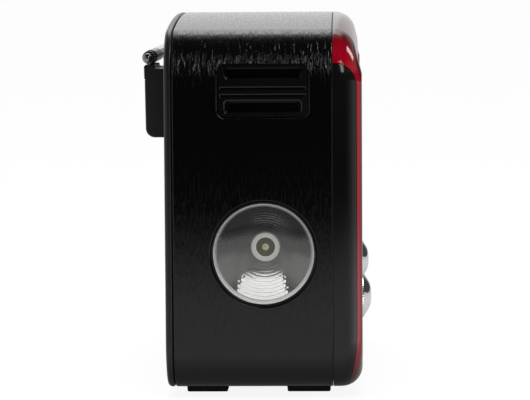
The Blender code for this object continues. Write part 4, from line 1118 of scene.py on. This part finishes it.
# ------------------------------------------------------------------ inside
def main_board():
    board = box(-8.0, 60.0, -19.0, -17.4, 52.0, 86.0)
    for i in range(9):                      # components of random size
        x, z = -3 + 6.5 * i, 55 + rng.random() * 24
        join(board, box(x, x + 3.5 + rng.random() * 1.5, -17.5, -15.4 + rng.random(),
                        z, z + 2.5 + rng.random() * 3))
    finish(board, "main_board_fine", "chassis", "board", weighted=False)


def batteries():
    tray = box(-82.0, -18.0, 20.5, 39.6, 26.0, 66.0)
    cut(tray, box(-80.0, -20.0, 22.0, 45.0, 28.0, 64.0))
    bevel(tray, width=0.4, segments=2)
    finish(tray, "battery_tray_fine", "chassis", "tray")
    for i in range(2):
        cell = turn([(0, -79.0), (7.1, -79.0), (7.1, -29.5), (2.7, -29.5), (2.7, -28.3),
                     (0, -28.3)], "x", (30.6, 37.4 + 17.2 * i), 64, 0.6)
        finish(cell, "battery_cell_%d_fine" % (i + 1), "chassis", "cell")


def ferrite_aerial():
    rod = turn([(0, -70.0), (4.8, -70.0), (4.8, 50.0), (0, 50.0)], "x", FERRITE, 48, 0.4)
    finish(rod, "ferrite_rod_fine", "chassis", "magnet")
    windings = [(6.4 + 0.2 * (k % 2), 8.0 + 0.5 * k) for k in range(53)]
    coil = turn([(5.2, 8.0), *windings, (5.2, 34.0)], "x", FERRITE, 48, 0.1)
    finish(coil, "ferrite_coil_fine", "chassis", "copper", angle=70)


# ------------------------------------------------------------------ crank and dynamo
def crank_dish():
    rim_y, floor, r = BACK_Y - 0.3, DISH_FLOOR_Y, DISH_R
    dish = turn([(r, rim_y), (r, floor - 1.8), (4.3, floor - 1.8), (4.3, floor), (14, floor),
                 (14.6, floor + 0.5), (15.6, floor + 0.5), (16.2, floor), (r - 3.4, floor),
                 (r - 2.3, floor + 0.6), (r - 1.8, floor + 1.6), (r - 1.8, rim_y)],
                "y", CRANK, 128, 0.3)
    finish(dish, "crank_dish_fine", "chassis", "tray")


def crank_hub():
    x, z = CRANK
    floor = DISH_FLOOR_Y
    hub = turn([(0, 8.0), (3.0, 8.0), (3.0, 14.4), (3.9, 14.4), (3.9, floor + 0.6),
                (9.6, floor + 0.6), (10.2, floor + 1.2), (10.2, floor + 4.2), (9.4, floor + 5.0),
                (0, floor + 5.0)], "y", CRANK, 72, 0.3)
    join(hub, box(x - 8.0, x + 8.0, floor + 0.8, floor + 4.8, z + 3.0, HINGE_Z + 3.4))
    for side in (-1, 1):                    # hinge lugs
        lug = [(floor + 4.0, HINGE_Z - 3.0), *arc(HINGE_Y, HINGE_Z, 2.6, degrees(-60, 180, 18)),
               (floor + 4.0, HINGE_Z + 3.4)]
        join(hub, prism(lug, "x", x + side * 5.2, x + side * 8.0))
    bevel(hub, width=0.3, segments=2, angle=40)
    finish(hub, "crank_hub_fine", "crank", "tray")


def crank_handle():
    x = CRANK[0]
    knob_centre = (x, HINGE_Z - 28.0)
    half = 2.4                              # half thickness of the arm at its hinge
    arm = prism([*arc(HINGE_Y, HINGE_Z, half, degrees(0, 180, 18)),
                 (HINGE_Y - half, HINGE_Z - 3.0), (HINGE_Y - 1.5, HINGE_Z - 34.0),
                 (HINGE_Y + half, HINGE_Z - 34.0)], "x", x - 4.8, x + 4.8)
    cut(arm, flared(x - 2.6, x + 2.6, HINGE_Z - 24, HINGE_Z - 6, 1.6, 6, "y",
                    [(HINGE_Y + 1.6, -0.2), (HINGE_Y + 2.2, 0.0), (HINGE_Y + 2.5, 0.3),
                     (HINGE_Y + 5, 2)]))
    bevel(arm, width=0.5, segments=3, angle=45)
    join(arm, turn([(0, HINGE_Y - 11.4), (1.9, HINGE_Y - 11.4), (1.9, HINGE_Y + 1.0),
                    (0, HINGE_Y + 1.0)], "y", knob_centre, 40, 0.2))
    finish(arm, "crank_arm_fine", "handle", "button")

    def flutes(radius, station, angle):
        on_grip = radius > 5.0 and HINGE_Y - 11.0 < station < HINGE_Y - 2.6
        return -0.35 * (0.5 - 0.5 * math.cos(10 * angle)) if on_grip else 0.0

    profile = ((2.2, 2.4), (6.2, 2.4), (7.0, 3.4), (6.7, 5.0), (6.4, 7.0), (6.7, 8.6),
               (7.0, 9.6), (6.0, 11.2), (2.2, 11.2))        # radius, distance in from the hinge
    grip = turn([(r, HINGE_Y - inward) for r, inward in profile],
                "y", knob_centre, 120, 0.4, flutes)
    finish(grip, "crank_knob_fine", "handle_knob", "crank_knob")


def teeth(count, depth):
    """Wave of gear teeth, on the parts behind y = 8 only."""
    def wave(radius, station, angle):
        if radius <= 4.5 or station <= 8.0:
            return 0.0
        return -depth * (0.5 - 0.5 * max(-1.0, min(1.0, 2.2 * math.cos(count * angle))))
    return wave


def dynamo():
    gear = turn([(3.3, 8.6), (17.0, 8.6), (17.0, 13.0), (3.3, 13.0)],
                "y", CRANK, 51 * 8, 0, teeth(51, depth=0.9))
    finish(gear, "crank_gear_fine", "crank", "white")
    housing = turn([(12.5, 5.4), (12.5, -11.0), (2.0, -11.0), (2.0, -9.4), (11.0, -9.4),
                    (11.0, 4.0), (2.0, 4.0), (2.0, 5.4)], "y", DYNAMO, 72, 0.4)
    finish(housing, "dynamo_housing_fine", "chassis", "steel")
    rotor = turn([(0, -12.5), (1.6, -12.5), (1.6, -8.6), (10.2, -8.6), (10.2, 3.2), (1.6, 3.2),
                  (1.6, 8.2), (5.0, 8.2), (5.0, 13.4), (0, 13.4)],
                 "y", DYNAMO, 15 * 8, 0, teeth(15, depth=0.8))
    finish(rotor, "dynamo_rotor_fine", "rotor", "steel")


# ------------------------------------------------------------------ aerial
def along_aerial(profile, n, rounding, wave=None):
    """Turns (radius, distance from the pivot) points about the aerial's axis."""
    part = turn(profile, "x", (0, 0), n, rounding, wave)
    aim = Vector((1, 0, 0)).rotation_difference(AERIAL_AXIS).to_matrix().to_4x4()
    for vertex in part.data.vertices:
        vertex.co = AERIAL_PIVOT + aim @ vertex.co
    return part


def aerial_root():
    cap_y = BACK_Y + GAP
    swivel = turn([(0, 36.0), (4.6, 36.0), (4.6, REAR_SEAM_Y - 0.6), (2.9, REAR_SEAM_Y - 0.6),
                   (2.9, cap_y), (5.0, cap_y), (5.0, 43.3), (0, 43.3)],
                  "y", (AERIAL_PIVOT.x, AERIAL_PIVOT.z), 64, 0.15)
    finish(swivel, "antenna_swivel_fine", "chassis", "chrome")
    grooves = []
    for i in range(8):                      # turned grip grooves towards the free end
        t = 134.0 + 3.0 * i
        grooves += [(3.0, t), (2.86, t + 0.18), (2.86, t + 0.62), (3.0, t + 0.8)]
    tube = along_aerial([(2.45, 6.0), (3.0, 6.0), *grooves, (3.0, 158.4), (2.85, 158.7),
                         (2.85, 159.2), (3.0, 159.5), (2.7, 160.0), (2.45, 160.0)], 64, 0.1)
    join(tube, along_aerial([(0, -4.0), (2.6, -4.0), (3.0, -3.4), (3.0, 7.0), (0, 7.0)], 64, 0.1))
    finish(tube, "antenna_tube_1_fine", "mast_1", ("aerial", "aerial_tip"),
           second=lambda c, _: (c - AERIAL_PIVOT).dot(AERIAL_AXIS) > 133.5)


def aerial_tip():
    profile = [(0, 12.0), (0.8, 12.0), (0.8, 166.0), (2.3, 166.0)]
    for k in range(4):                      # turned ribs of the collar
        t = 166.2 + 1.2 * k
        profile += [(2.62, t), (2.8, t + 0.25), (2.8, t + 0.6), (2.62, t + 0.85), (2.32, t + 1.0)]
    profile += [(2.3, 171.2), (1.7, 171.7), (1.15, 172.0), (1.1, 172.5)]
    ball = [(2.1 * math.cos(a), 174.9 + 2.2 * math.sin(a)) for a in degrees(-62, 152.0, 12)]
    ball[-1] = (0.0, ball[-1][1])           # closes exactly on the axis
    profile += ball

    def knurl(radius, station, angle):
        on_ribs = radius > 2.55 and station < 171.2
        return -0.07 * (0.5 - 0.5 * math.cos(24 * angle)) if on_ribs else 0.0

    finish(along_aerial(profile, 96, 0.0, knurl), "antenna_tip_fine", "mast_4", "aerial_tip",
           angle=35)


def aerial():
    aerial_root()
    tubes = (                               # number, sides, profile
        (2, 56, [(1.75, 8.0), (2.2, 8.0), (2.2, 162.4), (2.0, 163.0), (1.75, 163.0)]),
        (3, 48, [(1.05, 10.0), (1.5, 10.0), (1.5, 164.5), (1.3, 165.0), (1.05, 165.0)]))
    for number, sides, profile in tubes:
        finish(along_aerial(profile, sides, 0.1), "antenna_tube_%d_fine" % number,
               "mast_%d" % number, "aerial")
    aerial_tip()


for build in (cabinet, rear_cover, cover_screws, aerial_rest, battery_door, front_frame,
              seam_tongue, front_fascia, speaker, dial, controls, torch, grips, feet, main_board,
              batteries, ferrite_aerial, crank_dish, crank_hub, crank_handle, dynamo, aerial):
    build()

# ------------------------------------------------------------------ studio, metres
scene = bpy.context.scene
scene.view_settings.view_transform = "Standard"
scene.view_settings.look = "None"


def floor_shader(tree):
    """Pale to the camera; to other rays it glows with a painted lit patch and pool of light on the
    table and painted shade under the radio.
    """
    tree.nodes.clear()
    nodes = Nodes(tree)
    calc, smooth = nodes.math, nodes.smooth
    x, y, _ = nodes.axes(nodes.add("NewGeometry").outputs["Position"])
    # distance and direction (cosine from +X) from a point by the torch side
    away_x, away_y = calc("ADD", x, 0.11), calc("ADD", y, 0.03)
    squared = calc("ADD", calc("MULTIPLY", away_x, away_x), calc("MULTIPLY", away_y, away_y))
    distance = calc("SQRT", calc("ADD", squared, 1e-5))
    cosine = calc("DIVIDE", away_x, distance)
    # the painted lit patch fades towards -X
    fade = calc("MAXIMUM", smooth(x, start=-1.05, end=-0.35, low=0.0, high=0.60),
                smooth(cosine, start=-0.93, end=-0.55, low=0.0, high=0.50))
    # painted pool of light in front of the radio
    sector = calc("MULTIPLY", smooth(cosine, start=-0.88, end=-0.45, low=0.0, high=1.15),
                  smooth(cosine, start=-0.15, end=0.35, low=1.0, high=0.12))
    reach = calc("MULTIPLY", smooth(y, start=-0.16, end=-0.05, low=1.0, high=0.0),
                 smooth(distance, start=0.30, end=0.95, low=1.0, high=0.15))
    fade = calc("ADD", fade, calc("MULTIPLY", sector, reach))
    # painted shade under and close to the radio
    outside = calc("MAXIMUM", calc("SUBTRACT", calc("ABSOLUTE", x), 0.100),
                   calc("SUBTRACT", calc("ABSOLUTE", y), 0.040))
    under = smooth(outside, start=-0.01, end=0.035, low=0.18, high=1.0)
    path = nodes.add("LightPath").outputs
    # rays that come through the torch lens see the nearby table with the radio's painted shade
    through_lens = calc("GREATER_THAN", path["Transparent Depth"], 0.5)
    glow = nodes.mix(through_lens, calc("MULTIPLY", fade, under),
                     smooth(outside, start=0.05, end=0.13, low=0.035, high=0.25))
    table = nodes.add("Emission", {"Strength": glow})
    pale = nodes.add("Emission", {"Strength": 0.90})
    diffuse = nodes.add("BsdfDiffuse", {"Color": (0.30, 0.30, 0.30, 1)})
    seen = nodes.add("AddShader", {0: pale.outputs[0], 1: diffuse.outputs[0]})
    mix = nodes.add("MixShader", {0: path["Is Camera Ray"], 1: table.outputs[0],
                                  2: seen.outputs[0]})
    nodes.add("OutputMaterial", {"Surface": mix.outputs[0]})


def studio_floor():
    half = 14.0
    mesh = bpy.data.meshes.new("floor")
    mesh.from_pydata([(-half, -half, 0), (half, -half, 0), (half, half, 0), (-half, half, 0)],
                     [], [(0, 1, 2, 3)])
    table = bpy.data.objects.new("floor", mesh)
    scene.collection.objects.link(table)
    material = bpy.data.materials.new("floor_pale_painted_light")
    material.use_nodes = True
    floor_shader(material.node_tree)
    mesh.materials.append(material)


def studio_world():
    """White cove on the +X side, dark towards -X apart from a low band in front."""
    world = bpy.data.worlds.new("studio")
    scene.world = world
    world.use_nodes = True
    world.node_tree.nodes.clear()
    nodes = Nodes(world.node_tree)
    calc, smooth = nodes.math, nodes.smooth
    x, y, z = nodes.axes(nodes.add("TexCoord").outputs["Generated"])
    level = calc("SUBTRACT", 1.0, calc("MULTIPLY", z, z))
    cosine = calc("DIVIDE", x, calc("SQRT", calc("MAXIMUM", level, 0.0001)))
    # brightness of the cove / 5 by height; the overhead diffuser ends at about 53 degrees
    cove = nodes.ramp(z, [(0.0, 0.20), (0.25, 0.225), (0.5, 0.36), (0.77, 0.66), (0.80, 0.67),
                          (0.822, 0.24), (0.93, 0.06), (0.985, 0.004)])
    back = nodes.mix(smooth(calc("ABSOLUTE", y), start=0.12, end=0.34),
                     calc("MULTIPLY", cove, 5.0),
                     smooth(z, start=0.45, end=0.80, low=0.85, high=0.05))
    back = calc("MULTIPLY", back, smooth(y, start=-0.07, end=-0.012, low=0.74, high=1.0))
    side = smooth(z, start=0.45, end=0.80, low=0.50, high=0.03)
    light = nodes.mix(smooth(x, start=0.04, end=0.34), side, back)
    low_band = calc("MULTIPLY", smooth(z, start=-0.02, end=0.03),
                    smooth(z, start=0.26, end=0.34, low=1.0, high=0.0))
    band = calc("MULTIPLY", smooth(y, start=-0.55, end=-0.30, low=1.0, high=0.0), low_band)
    # the band is not there for rays that come through the torch lens
    path = nodes.add("LightPath").outputs
    through_lens = calc("GREATER_THAN", path["Transparent Depth"], 0.5)
    band = calc("MULTIPLY", band, calc("SUBTRACT", 1.0, through_lens))
    dark = calc("MULTIPLY", smooth(cosine, start=-0.93, end=-0.62),
                calc("SUBTRACT", 1.0, calc("MULTIPLY", band, 0.9)))
    glow = calc("ADD", calc("MULTIPLY", light, dark), 0.010)
    camera_white = 1.25
    background = nodes.add("Background",
                           {"Strength": nodes.mix(path["Is Camera Ray"], glow, camera_white)})
    nodes.add("OutputWorld", {0: background.outputs[0]})


def softbox(name, azimuth, elevation, distance, size, level, target=(0, 0, 0.08), only=None,
            tilt=0.0):
    """Area light of radiance level, seen from the target at azimuth (0 front, 270 torch side)
    and elevation; only lists the pieces it lights."""
    a, e = math.radians(azimuth), math.radians(elevation)
    back = Vector((math.sin(a) * math.cos(e), -math.cos(a) * math.cos(e), math.sin(e)))
    width, height = size
    data = bpy.data.lights.new(name, "AREA")
    data.shape = "RECTANGLE"
    data.size = width
    data.size_y = height
    data.energy = level * math.pi * width * height
    light = bpy.data.objects.new(name, data)
    light.location = Vector(target) + back * distance
    aim = (-back).to_track_quat("-Z", "Y").to_matrix()
    light.rotation_euler = (aim @ Matrix.Rotation(math.radians(tilt), 3, "Z")).to_euler()
    light.visible_camera = False
    scene.collection.objects.link(light)
    if only:
        receivers = bpy.data.collections.new(name + "_on")
        for piece in only:
            receivers.objects.link(piece)
        light.light_linking.receiver_collection = receivers
    return light


def lights():
    bowl = [p for p in PIECES if p.name.startswith(("torch_reflector", "torch_lens"))]
    others = [p for p in PIECES if p not in bowl]
    sleeve = [p for p in PIECES if p.name.startswith("cabinet_shell")]
    mouth = (-0.11, -0.003, 0.063)
    softbox("key_strip", azimuth=359, elevation=47, distance=1.5, size=(0.40, 0.60), level=9.5,
            only=others, tilt=4)
    softbox("grain_strip", azimuth=280, elevation=38, distance=1.5, size=(0.16, 0.95), level=3.4,
            only=sleeve)
    softbox("low_strip", azimuth=290, elevation=31, distance=1.5, size=(0.16, 0.66), level=4.8,
            only=others)
    soft = softbox("key_soft", azimuth=274, elevation=64, distance=1.6, size=(0.9, 0.9),
                   level=2.5)
    soft.visible_glossy = False
    softbox("torch_card", azimuth=272, elevation=57, distance=1.0, size=(1.30, 0.62), level=2.6,
            target=mouth, only=bowl)
    softbox("torch_haze", azimuth=270, elevation=18, distance=1.0, size=(1.60, 0.62), level=0.30,
            target=mouth, only=bowl)


def camera():
    """Long lens that looks at the torch side from slightly above."""
    pitch, yaw, roll = math.radians(-4.930), math.radians(1.604), math.radians(-0.36)
    data = bpy.data.cameras.new("camera")
    data.lens = 197.3
    data.sensor_width = 36.0
    data.clip_start = 0.05
    data.clip_end = 60.0
    viewer = bpy.data.objects.new("camera", data)
    scene.collection.objects.link(viewer)
    viewer.location = (-1.3473, (-35.42 - MID_Y) * MM, 0.1933)
    forward = Vector((math.cos(pitch) * math.cos(yaw), math.cos(pitch) * math.sin(yaw),
                      math.sin(pitch)))
    viewer.rotation_mode = "QUATERNION"
    viewer.rotation_quaternion = (forward.to_track_quat("-Z", "Y")
                                  @ Matrix.Rotation(roll, 4, "Z").to_quaternion())
    scene.camera = viewer


studio_floor()
studio_world()
lights()
camera()
